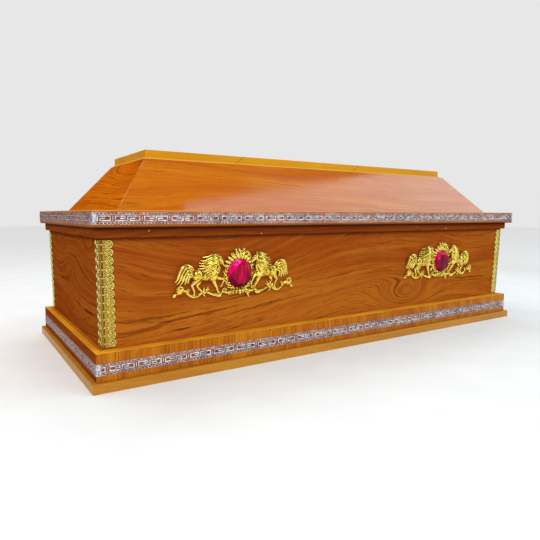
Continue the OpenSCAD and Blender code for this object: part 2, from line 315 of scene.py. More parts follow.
# tones of each wood, dark to pale; rings a metre; sway: how far they wander;
# line: how dark the streaks are; gloss: the roughness at its smoothest
woods = {
    "panel": {
        "deep": (0.130, 0.018, 0.003), "mid": (0.300, 0.058, 0.006), "pale": (0.455, 0.135, 0.012),
        "rings": 34.0, "sway": 0.062, "line": 0.95, "gloss": 0.42, "specular": 0.0,
    },
    # the end panels: the panel wood in darker tones, painted shade
    "panelEnd": {
        "deep": (0.095, 0.012, 0.003), "mid": (0.235, 0.042, 0.005), "pale": (0.350, 0.088, 0.009),
        "rings": 34.0, "sway": 0.062, "line": 0.95, "gloss": 0.42, "specular": 0.0,
    },
    "slope": {
        "deep": (0.300, 0.050, 0.003), "mid": (0.485, 0.102, 0.003), "pale": (0.600, 0.185, 0.004),
        "rings": 46.0, "sway": 0.040, "line": 0.85, "gloss": 0.060, "specular": 0.70,
    },
    # the end slopes: darker tones as painted shade, and a matt finish
    "slopeEnd": {
        "deep": (0.210, 0.032, 0.004), "mid": (0.425, 0.082, 0.003), "pale": (0.590, 0.158, 0.004),
        "rings": 34.0, "sway": 0.060, "line": 0.90, "gloss": 0.24, "specular": 0.0,
    },
    "moulding": {
        "deep": (0.085, 0.010, 0.004), "mid": (0.205, 0.033, 0.006), "pale": (0.290, 0.066, 0.009),
        "rings": 60.0, "sway": 0.050, "line": 0.6, "gloss": 0.34, "specular": 0.0,
    },
    "rim": {
        "deep": (0.150, 0.030, 0.005), "mid": (0.350, 0.088, 0.012), "pale": (0.460, 0.145, 0.020),
        "rings": 55.0, "sway": 0.045, "line": 0.5, "gloss": 0.30, "specular": 0.01,
    },
    "plinth": {
        "deep": (0.150, 0.026, 0.004), "mid": (0.365, 0.084, 0.005), "pale": (0.590, 0.215, 0.009),
        "rings": 42.0, "sway": 0.070, "line": 0.85, "gloss": 0.30, "specular": 0.06,
    },
    "golden": {
        "deep": (0.450, 0.150, 0.006), "mid": (0.600, 0.250, 0.007), "pale": (0.680, 0.320, 0.010),
        "rings": 26.0, "sway": 0.060, "line": 0.16, "gloss": 0.30, "specular": 0.06,
    },
    "slab": {
        "deep": (0.320, 0.110, 0.008), "mid": (0.450, 0.170, 0.012), "pale": (0.540, 0.240, 0.020),
        "rings": 30.0, "sway": 0.060, "line": 0.22, "gloss": 0.32, "specular": 0.25,
    },
    "inner": {
        "deep": (0.36, 0.22, 0.11), "mid": (0.52, 0.36, 0.20), "pale": (0.62, 0.46, 0.28),
        "rings": 30.0, "sway": 0.060, "line": 0.4, "gloss": 0.55, "specular": 0.3,
    },
}

# knots: along the grain, across it, how far they reach, how strongly they bend the rings
knots = {
    "side_panel_front": [(0.333, 0.178, 0.085, 4.0), (-0.70, 0.44, 0.16, 2.2), (0.80, 0.50, 0.14, 2.4)],
    "side_panel_back": [(-0.41, 0.30, 0.10, 3.5), (0.62, 0.20, 0.13, 2.4)],
    "end_panel_left": [(0.21, 0.430, 0.042, 3.4), (-0.273, 0.435, 0.042, 3.4), (0.015, 0.345, 0.060, -2.2)],
    "end_panel_right": [(0.10, 0.27, 0.09, 3.2)],
}


# wander: noise that moves the rings, along and across the grain, then its detail, roughness
# and share of the sway
wander = {
    "broad": (0.75, 3.4, 1.0, 0.4, 6.0),
    "ripple": (3.2, 11.0, 3.0, 0.55, 0.38),
}
# layers: noise laid along the rings, along and across them, then its detail and roughness
layers = {
    "bands": (1.3, 0.55, 3.0, 0.55),
    "streaks": (2.6, 2.9, 4.0, 0.66),
    "pores": (22.0, 8.0, 3.0, 0.65),
}
# how much each layer adds to the pale tone, and to the dark lines
paleShares = {"bands": 0.46, "streaks": 0.34, "patch": 0.16, "wave": 0.04}
darkShares = {"thread": 0.72, "rings": 0.45, "hair": 0.42}
# painted shade on the long panels: browner in the lid's shadow and more golden below: two heights and the
# tones there
panelShadeFade = (0.16, 0.46, 0.035, -0.035)
# where each mask of the grain starts and ends
masks = {
    "pale": (0.38, 0.62),
    "thread": (0.55, 0.64),
    "band": (0.40, 0.56),
    "rings": (0.42, 0.60),
    "hair": (0.53, 0.66),
}
ringSharpness = 7.0
patchNoise = (2.4, 2.0, 0.5)
midNoise = (0.3, 0.7)  # most of a noise lies between these
lacquer = {
    "ior": 1.45,
    "peel": (95.0, 2.0, 0.5),
    "peelShare": 0.5,
    "poreShare": 0.10,
    "bump": (0.10, 0.0012),
    "drift": 0.07,
}


def along(axis, run, rest):
    scale = [rest, rest, rest]
    scale["xyz".index(axis)] = run
    return scale


# a number that grows by one from ring to ring, with the places along and across the grain
def ringField(finish, name, look, grain, across, shift):
    axes = finish.axes()
    run = axes["xyz".index(grain)]
    rise = axes["xyz".index(across)]
    field = rise
    for lengthwise, sideways, detail, rough, share in wander.values():
        where = finish.stretch(along(grain, lengthwise, sideways), shift)
        field = field + (finish.cloud(where, 1.0, detail, rough) - 0.5) * (look["sway"] * share)
    field = field * look["rings"]
    for place, height, reach, bend in knots.get(name, []):
        sideways = (run - place) / (reach * 2.0)
        upward = (rise - height) / reach
        away = (sideways * sideways + upward * upward) * -1.0
        field = field + away.calc("EXPONENT") * bend
    return field, run


def woodFinish(name, kind, grain, across, shift):
    look = woods[kind]
    finish = Finish(name + "_wood")
    field, run = ringField(finish, name, look, grain, across, shift)
    noises = {}
    for (layer, (lengthwise, sideways, detail, rough)), seed in zip(layers.items(), shift):
        where = finish.vector(run * lengthwise, field * sideways, seed)
        noises[layer] = finish.cloud(where, 1.0, detail, rough)
    bands, streaks, pores = noises.values()
    wave = (field * (2.0 * math.pi)).calc("SINE") * 0.5 + 0.5
    patch = finish.cloud(finish.stretch(shift=shift), *patchNoise)
    light = bands * paleShares["bands"] + streaks * paleShares["streaks"]
    light = light + patch * paleShares["patch"] + wave * paleShares["wave"]
    # painted shade: the long panels darker under the lid
    if kind == "panel":
        light = light + finish.span(finish.axes()[2], *panelShadeFade)
    ground = finish.mix(finish.span(light, *masks["pale"]), look["mid"], look["pale"])
    thread = finish.span(streaks, *masks["thread"]) * finish.span(bands, *masks["band"])
    thread = thread * darkShares["thread"]
    rings = (wave ** ringSharpness) * finish.span(patch, *masks["rings"]) * darkShares["rings"]
    hair = finish.span(pores, *masks["hair"]) * darkShares["hair"]
    dark = (thread + rings + hair) * look["line"]
    colour = finish.mix(dark.calc("MINIMUM", 1.0), ground, look["deep"])
    peel = finish.cloud(finish.place, *lacquer["peel"])
    dents = peel * lacquer["peelShare"] + pores * lacquer["poreShare"]
    return finish.surface(
        colour=wearAndPaintedLight(finish, name, colour, run),
        roughness=finish.span(patch, *midNoise, look["gloss"], look["gloss"] + lacquer["drift"]),
        ior=lacquer["ior"],
        specular=look["specular"],
        normal=finish.bump(dents, *lacquer["bump"]),
    )


# specks: cells a metre; share: how much of a cell its speck takes
marks = {
    "base_slab": {"specks": 60.0, "share": 0.085, "colour": (0.80, 0.66, 0.38)},
    "moulding": {"specks": 22.0, "share": 0.085, "colour": (0.62, 0.42, 0.26)},
    "lid_slope": {"specks": 30.0, "share": 0.040, "colour": (0.82, 0.62, 0.42)},
    "side_panel": {"specks": 9.0, "share": 0.035, "colour": (0.060, 0.012, 0.010)},
}
speckle = {"shift": (0.3, 0.7, 0.1), "core": 0.6, "strength": 0.85}
# painted shade under the ledges and at the foot of the lid's rim: from the first height it darkens up to
# the second
paintedShade = {
    "side_panel": (0.446, 0.466, 0.62),
    "end_panel": (0.446, 0.466, 0.62),
    "moulding": (0.484, 0.497, 0.85),
    "lid_rim": (0.5040, 0.4995, 0.75),
}
paintedShadeColour = (0.022, 0.005, 0.004)
# a painted black shadow in the gap under the far end of the lid: where it starts along and up
gapShadow = {"along": 1.064, "up": 0.480, "edge": 0.004, "colour": (0.004, 0.004, 0.004)}
# the plinth's top edge and ledge are plain golden board above this height
ledge = {"low": 0.1185, "high": 0.1192}
# a painted highlight along the upper edge of the lid's rim
rimEdgeHighlight = {
    "low": 0.5455,
    "high": 0.5490,
    "offset": 0.650,
    "inner": 0.4385,
    "outer": 0.4405,
    "share": 0.7,
    "colour": (0.74, 0.34, 0.07),
}


# real specks, chips and splice lines, with painted shade under the ledges, a painted shadow under the lid's
# far end and painted highlights on the rim and the cap's foot
def wearAndPaintedLight(finish, name, colour, run):
    x, y, height = finish.axes()
    for part, mark in marks.items():
        if name.startswith(part):
            spots = finish.cells(finish.stretch(shift=speckle["shift"]), mark["specks"])
            spot = 1.0 - finish.span(spots, mark["share"] * speckle["core"], mark["share"])
            colour = finish.mix(spot * speckle["strength"], colour, mark["colour"])
    # painted shade: darker towards the shaded gap under each ledge
    for part, (low, high, share) in paintedShade.items():
        if name.startswith(part):
            colour = finish.mix(finish.span(height, low, high) * share, colour, paintedShadeColour)
    if name.startswith("plinth_"):
        top = finish.span(height, ledge["low"], ledge["high"])
        colour = finish.mix(top, colour, goldenBoard(finish, name))
    if name.startswith("lid_rim"):
        # painted highlight: a pale line where the rim's upper edge catches the light
        outwards = (x.calc("ABSOLUTE") - rimEdgeHighlight["offset"]).calc("MAXIMUM", y.calc("ABSOLUTE"))
        crest = finish.span(height, rimEdgeHighlight["low"], rimEdgeHighlight["high"])
        crest = crest * finish.span(outwards, rimEdgeHighlight["inner"], rimEdgeHighlight["outer"])
        colour = finish.mix(crest * rimEdgeHighlight["share"], colour, rimEdgeHighlight["colour"])
    if name == "moulding_front":
        # painted shadow: a black patch where the gap under the lid's far end lies in shade
        gapShadowMask = finish.span(run, gapShadow["along"], gapShadow["along"] + gapShadow["edge"])
        gapShadowMask = gapShadowMask * finish.span(height, gapShadow["up"], gapShadow["up"] + gapShadow["edge"])
        colour = finish.mix(gapShadowMask, colour, gapShadow["colour"])
    if name == "lid_cap_board":
        colour = scarfLines(finish, colour)
    if name.startswith("lid_slope"):
        colour = chippedHips(finish, colour)
    return colour


# the plinth's ledge: a pale outer strip and, at the coffin's ends, a browner strip by the body
golden = {
    "outer": ((0.62, 0.255, 0.012), (0.76, 0.355, 0.016)),
    "inner": ((0.44, 0.120, 0.008), (0.54, 0.170, 0.010)),
    "endAt": 1.085,
    "strip": (0.018, 0.020),
    "noise": (7.0, 3.0, 0.5),
    "drift": (0.35, 0.65),
}


def goldenBoard(finish, name):
    drift = finish.span(finish.cloud(finish.place, *golden["noise"]), *golden["drift"])
    outer = finish.mix(drift, *golden["outer"])
    if name in ("plinth_front", "plinth_back"):
        return outer
    inner = finish.mix(drift, *golden["inner"])
    fromEnd = golden["endAt"] - finish.axes()[0].calc("ABSOLUTE")
    return finish.mix(finish.span(fromEnd, *golden["strip"]), outer, inner)


# fine slanting lines where the cap board's lengths are spliced, and its pale slanted foot, a painted
# highlight
scarfs = {
    "places": (-0.375, 0.270),
    "height": 0.753,
    "slant": 1.25,
    "skew": 0.3,
    "width": 0.0030,
    "core": 0.35,
    "strength": 0.75,
    "colour": (0.20, 0.07, 0.01),
    "foot": (0.7385, 0.7440),
    "footStrength": 0.55,
    "footHighlightColour": (0.85, 0.50, 0.09),
}


def scarfLines(finish, colour):
    x, y, z = finish.axes()
    for place in scarfs["places"]:
        offset = (x - place) - (z - scarfs["height"]) * scarfs["slant"] - y * scarfs["skew"]
        core = scarfs["width"] * scarfs["core"]
        line = 1.0 - finish.span(offset.calc("ABSOLUTE"), core, scarfs["width"])
        colour = finish.mix(line * scarfs["strength"], colour, scarfs["colour"])
    # painted highlight: the slanted foot of the cap board made pale
    foot = 1.0 - finish.span(z, *scarfs["foot"])
    return finish.mix(foot * scarfs["footStrength"], colour, scarfs["footHighlightColour"])


# the hips lie where the distances from the two middle planes differ by the offset
hips = {"offset": 0.639, "strength": 0.85, "colour": (0.84, 0.62, 0.42)}
# what is worn there: half its width, its noise, where that starts and ends, and its share
hipWear = {
    "chips": (0.0055, (55.0, 3.0, 0.6), (0.60, 0.66), 1.0),
    "arris": (0.0016, (16.0, 1.0, 0.5), (0.42, 0.56), 0.35),
}


def chippedHips(finish, colour):
    x, y = finish.axes()[:2]
    away = (x.calc("ABSOLUTE") - y.calc("ABSOLUTE") - hips["offset"]).calc("ABSOLUTE")
    worn = 0.0
    for reach, cloud, limits, share in hipWear.values():
        near = 1.0 - finish.span(away, reach * 0.5, reach)
        worn = near * finish.span(finish.cloud(finish.place, *cloud), *limits) * share + worn
    return finish.mix(worn.calc("MINIMUM", 1.0) * hips["strength"], colour, hips["colour"])


# each board's wood, the way its grain runs and the way its rings are stacked
boardFinishes = {
    "base_slab": ("slab", "x", "y"),
    "floor_board": ("inner", "x", "y"),
    "lid_cap_board": ("golden", "x", "y"),
    "side_panel_front": ("panel", "x", "z"),
    "side_panel_back": ("panel", "x", "z"),
    "end_panel_left": ("panelEnd", "y", "z"),
    "end_panel_right": ("panelEnd", "y", "z"),
    "lid_slope_front": ("slope", "x", "z"),
    "lid_slope_back": ("slope", "x", "z"),
    "lid_slope_left": ("slopeEnd", "y", "z"),
    "lid_slope_right": ("slopeEnd", "y", "z"),
    "plinth_front": ("plinth", "z", "x"),
    "plinth_back": ("plinth", "z", "x"),
    "plinth_left": ("moulding", "y", "z"),
    "plinth_right": ("moulding", "y", "z"),
}
for side, grain in (("front", "x"), ("back", "x"), ("left", "y"), ("right", "y")):
    boardFinishes["moulding_" + side] = ("moulding", grain, "z")
    boardFinishes["lid_rim_" + side] = ("rim", grain, "z")


def dress(node, material):
    slots = nodes[node].data.materials
    if len(slots) == 0:
        slots.append(material)
    for index in range(len(slots)):
        slots[index] = material


for count, (node, (kind, grain, across)) in enumerate(sorted(boardFinishes.items())):
    shift = (3.1 * count, 1.7 * count, 2.3 * count)
    dress(node, woodFinish(node, kind, grain, across, shift))
print("boards finished:", len(boardFinishes))


# how the fittings look: tones by their place on a ramp, or dark and bright; a noise is its scale,
# detail and roughness; rough: the smoothest and the roughest; bump: its strength and depth
fittings = {
    # painted highlight and shade: bright gold on what stands out, brown in the hollows and near the wood
    "gold": {
        "tones": (
            (0.02, (1.00, 0.78, 0.16)),
            (0.20, (0.94, 0.60, 0.026)),
            (0.38, (0.82, 0.43, 0.010)),
            (0.56, (0.50, 0.21, 0.005)),
            (0.74, (0.110, 0.036, 0.002)),
        ),
        "smudge": (38.0, 3.0, 0.55), "smudgeShare": 0.12, "grain": (420.0, 2.0, 0.5),
        "metallic": 0.82, "specular": 0.1, "rough": (0.13, 0.22), "bump": (0.25, 0.0003),
    },
    # pale gilt, rubbed to silver in places, with an olive ground between the reliefs painted as shade
    "gilt": {
        "warm": ((0.94, 0.74, 0.14), (1.00, 0.88, 0.30)), "silver": (0.88, 0.88, 0.86),
        "ground": (0.29, 0.16, 0.015), "rise": (0.26, 0.60),
        "rubbed": (60.0, 3.0, 0.6), "rubbedFrom": (0.58, 0.70), "rubbedShare": 0.7,
        "tarnish": (14.0, 2.0, 0.5), "grain": (700.0, 2.0, 0.5),
        "metallic": 1.0, "rough": (0.26, 0.40), "bump": (0.3, 0.0002),
    },
    "nail": {
        "tones": ((0.020, 0.012, 0.05), (0.05, 0.03, 0.10)), "dust": (500.0, 2.0),
        "metallic": 0.6, "rough": 0.35, "bump": (0.2, 0.0002),
    },
    # small flakes that turn from silver to sky blue, sea green and rose
    "nacre": {
        "tones": (
            (0.0, (0.34, 0.34, 0.42)),
            (0.24, (0.62, 0.70, 0.74)),
            (0.40, (0.42, 0.72, 0.78)),
            (0.52, (0.86, 0.88, 0.88)),
            (0.64, (0.76, 0.60, 0.68)),
            (0.76, (0.50, 0.74, 0.62)),
            (0.90, (0.80, 0.82, 0.90)),
        ),
        "flakes": 170.0, "flakeShare": 0.65, "drift": (34.0, 2.0, 0.5), "driftShare": 0.35,
        "squat": (1.0, 1.0, 1.6), "glints": (60.0, 2.0, 0.6), "glintsFrom": (0.40, 0.60),
        "dim": (0.54, 0.58, 0.62), "lit": (1.16, 1.27, 1.36),
        "metallic": 0.15, "specular": 0.15, "rough": (0.18, 0.38), "bump": (0.25, 0.0004),
    },
    # the red-brown film between the keys
    "film": {
        "tones": ((0.20, 0.038, 0.012), (0.34, 0.085, 0.022)), "streaks": (6.0, 6.0, 60.0),
        "streak": (1.0, 3.0, 0.6), "streakFrom": (0.35, 0.65), "crease": (240.0, 2.0, 0.5),
        "specular": 0.0, "rough": 0.30, "bump": (0.15, 0.0004),
    },
    # the crumpled end of a tape, folded round a corner
    "lap": {
        "tones": ((0.30, 0.20, 0.19), (0.66, 0.70, 0.78)), "crumple": (120.0, 3.0, 0.6),
        "flakes": 260.0, "crumpleShare": 0.6, "flakeShare": 0.4, "bareFrom": (0.34, 0.66),
        "metallic": 0.15, "specular": 0.15, "rough": (0.22, 0.45), "bump": (0.4, 0.0006),
    },
    # foil-backed stone: each facet carries its own share of dark wine and hot pink, the stone's colour with
    # painted highlights and shade
    "stone": {
        "tones": (
            (0.08, (0.070, 0.000, 0.010)),
            (0.30, (0.240, 0.000, 0.026)),
            (0.48, (0.480, 0.001, 0.040)),
            (0.64, (0.620, 0.002, 0.065)),
            (0.80, (0.760, 0.006, 0.210)),
            (0.96, (0.980, 0.080, 0.560)),
        ),
        "squeeze": (1.6, 1.0, 0.42), "turn": (0.0, 0.5, 0.0), "shards": 62.0, "veil": (30.0, 2.0, 0.5),
        "facetShare": 0.72, "shardShare": 0.30, "veilShare": 0.18,
        "metallic": 0.0, "specular": 0.08, "rough": (0.08, 0.16), "coat": 0.05, "coatRough": 0.02,
    },
}


def goldFinish(look):
    finish = Finish("polished_gold")
    smudge = finish.cloud(finish.place, *look["smudge"])
    grain = finish.cloud(finish.place, *look["grain"])
    # painted shade from the hollow mask, with a random smudge
    depth = finish.attribute("hollow") + (smudge - 0.5) * look["smudgeShare"]
    return finish.surface(
        colour=finish.ramp(depth, *look["tones"]),
        metallic=look["metallic"],
        specular=look["specular"],
        roughness=finish.span(smudge, *midNoise, *look["rough"]),
        normal=finish.bump(grain, *look["bump"]),
    )


def giltFinish(look):
    finish = Finish("pale_gilt")
    rubbed = finish.cloud(finish.place, *look["rubbed"])
    tarnish = finish.cloud(finish.place, *look["tarnish"])
    grain = finish.cloud(finish.place, *look["grain"])
    warm = finish.mix(finish.span(tarnish, *midNoise), *look["warm"])
    silver = finish.span(rubbed, *look["rubbedFrom"])
    bright = finish.mix(silver * look["rubbedShare"], warm, look["silver"])
    # painted shade: the lower a point lies, the more of the olive ground it shows
    raised = finish.span(finish.attribute("rise"), *look["rise"])
    return finish.surface(
        colour=finish.mix(raised, look["ground"], bright),
        metallic=look["metallic"],
        roughness=finish.span(rubbed, *midNoise, *look["rough"]),
        normal=finish.bump(grain, *look["bump"]),
    )


def nailFinish(look):
    finish = Finish("nail_head")
    dust = finish.cloud(finish.place, *look["dust"])
    return finish.surface(
        colour=finish.mix(dust, *look["tones"]),
        roughness=look["rough"],
        metallic=look["metallic"],
        normal=finish.bump(dust, *look["bump"]),
    )


def nacreFinish(look, name, share):
    finish = Finish(name)
    squat = finish.stretch(look["squat"])
    drift = finish.cloud(squat, *look["drift"])
    flakes = finish.flakes(finish.place, look["flakes"])
    hue = flakes * look["flakeShare"] + drift * look["driftShare"]
    colour = finish.ramp(hue, *look["tones"])
    # painted glints: patches of the flakes painted brighter or dimmer
    glints = finish.span(finish.cloud(squat, *look["glints"]), *look["glintsFrom"])
    # painted shade: share dims the copies at the coffin's ends
    dim, lit = (tuple(share * part for part in look[key]) for key in ("dim", "lit"))
    return finish.surface(
        colour=finish.shade(colour, finish.mix(glints, dim, lit)),
        metallic=look["metallic"],
        specular=look["specular"],
        roughness=finish.span(flakes, 0.0, 1.0, *look["rough"]),
        normal=finish.bump(flakes, *look["bump"]),
    )


def filmFinish(look):
    finish = Finish("tape_film")
    streak = finish.cloud(finish.stretch(look["streaks"]), *look["streak"])
    crease = finish.cloud(finish.place, *look["crease"])
    return finish.surface(
        colour=finish.mix(finish.span(streak, *look["streakFrom"]), *look["tones"]),
        roughness=look["rough"],
        specular=look["specular"],
        normal=finish.bump(crease, *look["bump"]),
    )


def lapFinish(look, name, share):
    finish = Finish(name)
    crumple = finish.cloud(finish.place, *look["crumple"])
    flakes = finish.flakes(finish.place, look["flakes"])
    bare = crumple * look["crumpleShare"] + flakes * look["flakeShare"]
    colour = finish.mix(finish.span(bare, *look["bareFrom"]), *look["tones"])
    # painted shade: share darkens the laps at the coffin's ends
    return finish.surface(
        colour=finish.shade(colour, (share, share, share)),
        metallic=look["metallic"],
        specular=look["specular"],
        roughness=finish.span(flakes, 0.0, 1.0, *look["rough"]),
        normal=finish.bump(crumple, *look["bump"]),
    )


def stoneFinish(look):
    finish = Finish("cut_stone")
    tilted = finish.stretch(look["squeeze"], turn=look["turn"])
    shards = finish.flakes(tilted, look["shards"])
    veil = finish.cloud(tilted, *look["veil"])
    # painted highlights and shade: the facet value, with slanting streaks and a veil
    tone = finish.attribute("facet") * look["facetShare"] + (shards - 0.5) * look["shardShare"]
    tone = tone + finish.span(veil, *midNoise) * look["veilShare"]
    return finish.surface(
        colour=finish.ramp(tone, *look["tones"]),
        metallic=look["metallic"],
        specular=look["specular"],
        roughness=finish.span(shards, 0.0, 1.0, *look["rough"]),
        coat=look["coat"],
        coatRoughness=look["coatRough"],
    )


gold = goldFinish(fittings["gold"])
gilt = giltFinish(fittings["gilt"])
nailMetal = nailFinish(fittings["nail"])
film = filmFinish(fittings["film"])
stone = stoneFinish(fittings["stone"])
# painted shade: the tapes at the coffin's ends are darker copies of those along it
nacre, lap = {}, {}
for longSide, ending, nacreShade, lapShade in ((True, "", 1.0, 1.0), (False, "_end", 0.62, 0.55)):
    nacre[longSide] = nacreFinish(fittings["nacre"], "nacre_tape" + ending, nacreShade)
    lap[longSide] = lapFinish(fittings["lap"], "tape_lap" + ending, lapShade)
print("fitting finishes made")


# fret tapes round the lid's rim and the plinth; lengths in metres
fret = {
    "height": 0.038,
    "backing": 0.0008,
    "relief": 0.0003,
    "pitch": 0.0908,
    "keyLength": 0.0755,
    "keyHeight": 0.013,
    "bar": 0.0029,
    "divider": 0.0018,
    "links": 8,
    "linkLength": 0.0066,
    "linkHeight": 0.0032,
    "linkBar": 0.0009,
    "linkTilt": 0.42,
    "linkSides": 8,
    "rowOffset": 0.0143,
    "lapAlong": {"front": 0.014, "back": 0.014, "left": 0.017, "right": 0.017},
    "lapLift": 0.0004,
    "lapMargin": 0.0007,
    "cornerSteps": 6,
    "endMargin": 0.001,
}
# one key, in shares of its length and height
keyPath = [
    (0.22, 0.5), (0.40, 0.5), (0.40, 1.0), (0.0, 1.0), (0.0, 0.0), (0.5, 0.0),
    (0.5, 1.0), (1.0, 1.0), (1.0, 0.0), (0.60, 0.0), (0.60, 0.5), (0.78, 0.5),
]


# a flat bar that follows a path of square turns, standing up from 0 to the given height
def squareBar(name, path, width, height, closed=False):
    count = len(path)
    rings = []
    for index, point in enumerate(path):
        here = Vector(point)
        before = Vector(path[(index - 1) % count]) if index > 0 or closed else None
        after = Vector(path[(index + 1) % count]) if index < count - 1 or closed else None
        into = (here - before).normalized() if before else (after - here).normalized()
        out = (after - here).normalized() if after else into
        side = Vector((-into.y, into.x)) + Vector((-out.y, out.x))
        side *= 1.0 / max(side.length_squared / 2.0, 0.2)  # a mitre at each turn
        end = Vector((0.0, 0.0))
        if before is None:
            end = -out
        if after is None:
            end = into
        one, two = (here + (side * sign + end) * (width / 2) for sign in (1, -1))
        rings.append([(*one, 0.0), (*two, 0.0), (*two, height), (*one, height)])
    return skinned(name, rings, closed)


# rows of keys and dividers, with a row of links above and below
def fretShape():
    shape = Shape(
        "fret_rows",
        Key="Object",
        Divider="Object",
        Link="Object",
        Start="Float",
        Pitch="Float",
        Keys="Int",
        LinkPitch="Float",
        Links="Int",
        Row="Float",
        Coat="Material",
    )
    given = shape.given
    step = shape.vector(given["Pitch"], 0.0, 0.0)
    keys = shape.rows(given["Key"], given["Keys"], shape.vector(given["Start"], 0.0, 0.0), step)
    bars = shape.rows(given["Divider"], given["Keys"], shape.vector(given["Start"], 0.0, 0.0), step)
    parts = [keys, bars]
    linkStep = shape.vector(given["LinkPitch"], 0.0, 0.0)
    for sign in (1.0, -1.0):
        first = shape.vector(given["Start"], given["Row"] * sign, 0.0)
        turn = (0.0, 0.0, fret["linkTilt"] * sign)
        parts.append(shape.rows(given["Link"], given["Links"], first, linkStep, Rotation=turn))
    shape.finish(shape.coated(shape.union(*parts), given["Coat"]))
    return shape


# the mesh between two places along x, closed where it is cut
def cutEnds(mesh, low, high):
    shape = bmesh.new()
    shape.from_mesh(mesh)
    for place, sign in ((low, -1.0), (high, 1.0)):
        bmesh.ops.bisect_plane(
            shape,
            geom=shape.verts[:] + shape.edges[:] + shape.faces[:],
            dist=1e-7,
            plane_co=(place, 0, 0),
            plane_no=(sign, 0, 0),
            clear_outer=True,
        )
        rim = [edge for edge in shape.edges if edge.is_boundary]
        bmesh.ops.holes_fill(shape, edges=rim, sides=0)
    shape.to_mesh(mesh)
    shape.free()


# a strip bent round the two half corners at its ends; out is the distance from the board
def bentStrip(name, half, radius, inner, outer, low, high, first=None, last=None):
    steps = fret["cornerSteps"]
    eighth = math.pi / 4
    stations = [(-1, eighth * (1 - index / steps)) for index in range(steps + 1)]
    stations += [(1, eighth * index / steps) for index in range(steps + 1)]
    path = []
    for sign, angle in stations:
        row = []
        for out in (inner, outer):
            reach = radius + out
            x = sign * (half - radius + reach * math.sin(angle))
            row.append((x, reach * math.cos(angle) - radius))
        path.append(row)
    if first is not None:
        path = path[:steps + 1] + [[(first, inner), (first, outer)]]
    if last is not None:
        path = [[(last, inner), (last, outer)]] + path[steps + 1:]
    rings = []
    for (xIn, outIn), (xOut, outOut) in path:
        rings.append([(xIn, low, outIn), (xOut, low, outOut), (xOut, high, outOut), (xIn, high, outIn)])
    return skinned(name, rings)


sides = {"front": 0, "right": 1, "back": 2, "left": 3}


# from a tape's own plane (along, up, out) to its side of the coffin
def tapeMatrix(side, across, height):
    flat = Matrix(((1, 0, 0, 0), (0, 0, -1, -across), (0, 1, 0, height), (0, 0, 0, 1)))
    return Matrix.Rotation(math.radians(90 * sides[side]), 4, "Z") @ flat


# starts: from the corner to the first divider on the long and the short sides
bands = {
    "lid": {"board": "lid_rim_", "radius": 0.009, "starts": (0.052, 0.030)},
    "plinth": {"board": "plinth_", "radius": 0.0015, "starts": (0.032, 0.050)},
}


def makeFretTapes():
    shape = fretShape()
    key = [(x * fret["keyLength"], (y - 0.5) * fret["keyHeight"]) for x, y in keyPath]
    middle = (fret["pitch"] - fret["keyLength"]) / 2
    key = [(x + middle, y) for x, y in key]
    tall = fret["keyHeight"] / 2
    oval = []
    for index in range(fret["linkSides"]):
        angle = 2 * math.pi * index / fret["linkSides"]
        oval.append((fret["linkLength"] * math.cos(angle), fret["linkHeight"] * math.sin(angle)))
    stand = fret["relief"] + fret["backing"] / 2
    bars = {
        "Key": squareBar("key", key, fret["bar"], stand),
        "Divider": squareBar("divider", [(0, -tall), (0, tall)], fret["divider"], stand),
        "Link": squareBar("link", oval, fret["linkBar"], stand, closed=True),
    }
    parts = {part: looseObject(part, mesh) for part, mesh in bars.items()}
    for band, look in bands.items():
        planHalf = abs(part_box(look["board"] + "left")[0][0])
        planDepth = abs(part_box(look["board"] + "front")[0][1])
        for side in sides:
            node = band + "_fret_" + side
            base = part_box(node)[0][2]
            longSide = side in ("front", "back")
            half, across = (planHalf, planDepth) if longSide else (planDepth, planHalf)
            radius = look["radius"]
            straight = half - radius - fret["endMargin"]
            start = look["starts"][0 if longSide else 1] - fret["pitch"] - straight
            keys = math.ceil((straight - start) / fret["pitch"])
            values = {
                "Start": start,
                "Pitch": fret["pitch"],
                "Keys": keys,
                "LinkPitch": fret["pitch"] / fret["links"],
                "Links": keys * fret["links"],
                "Row": fret["rowOffset"],
                "Coat": nacre[longSide],
            }
            relief = shape.make(**parts, **values)
            cutEnds(relief, -straight, straight)
            relief.transform(Matrix.Translation((0, fret["height"] / 2, fret["backing"] / 2)))
            backing = bentStrip("backing", half, radius, 0, fret["backing"], 0, fret["height"])
            backing.materials.append(film)
            meshes = [backing, relief]
            lapReach = fret["lapAlong"][side]
            ends = {"first": -half + lapReach, "last": half - lapReach}
            for end, place in ends.items():
                inner, outer = fret["backing"] * 0.6, fret["backing"] + fret["lapLift"]
                low, high = fret["lapMargin"], fret["height"] - fret["lapMargin"]
                patch = bentStrip("lap", half, radius, inner, outer, low, high, **{end: place})
                patch.materials.append(lap[longSide])
                meshes.append(patch)
            tape = joined(node, meshes)
            tape.transform(tapeMatrix(side, across, base))
            makePiece("tape_" + band + "_" + side, tape, node)
    for part in parts.values():
        bpy.data.objects.remove(part)


makeFretTapes()
print("fret tapes made")


# pale gilt corner trims; one leg: x runs in from the corner, y up it, z out from the wood
trim = {
    "foot": 0.006,
    "length": 0.334,
    "rosettes": 13,
    "rosetteAt": 0.028,
    "plate": 0.0014,
    "railWidth": 0.0015,
    "railHeight": 0.0028,
    "channel": 0.0060,
    "bridge": 0.0036,
    "beadAt": 0.0122,
    "beadsEach": 3,
    "hatchAt": 0.0168,
    "hatchTurn": 0.75,
    "hatchSize": (0.0086, 0.0024, 0.0019),
    "hatchEdge": 0.003,
    "plateEdge": 0.8,
    "hatchesEach": 4,
    "pinRaise": 0.0010,
    "cornerHeight": 0.0016,
    "crest": 0.0040,
    "lean": 0.008 / 0.378,
}
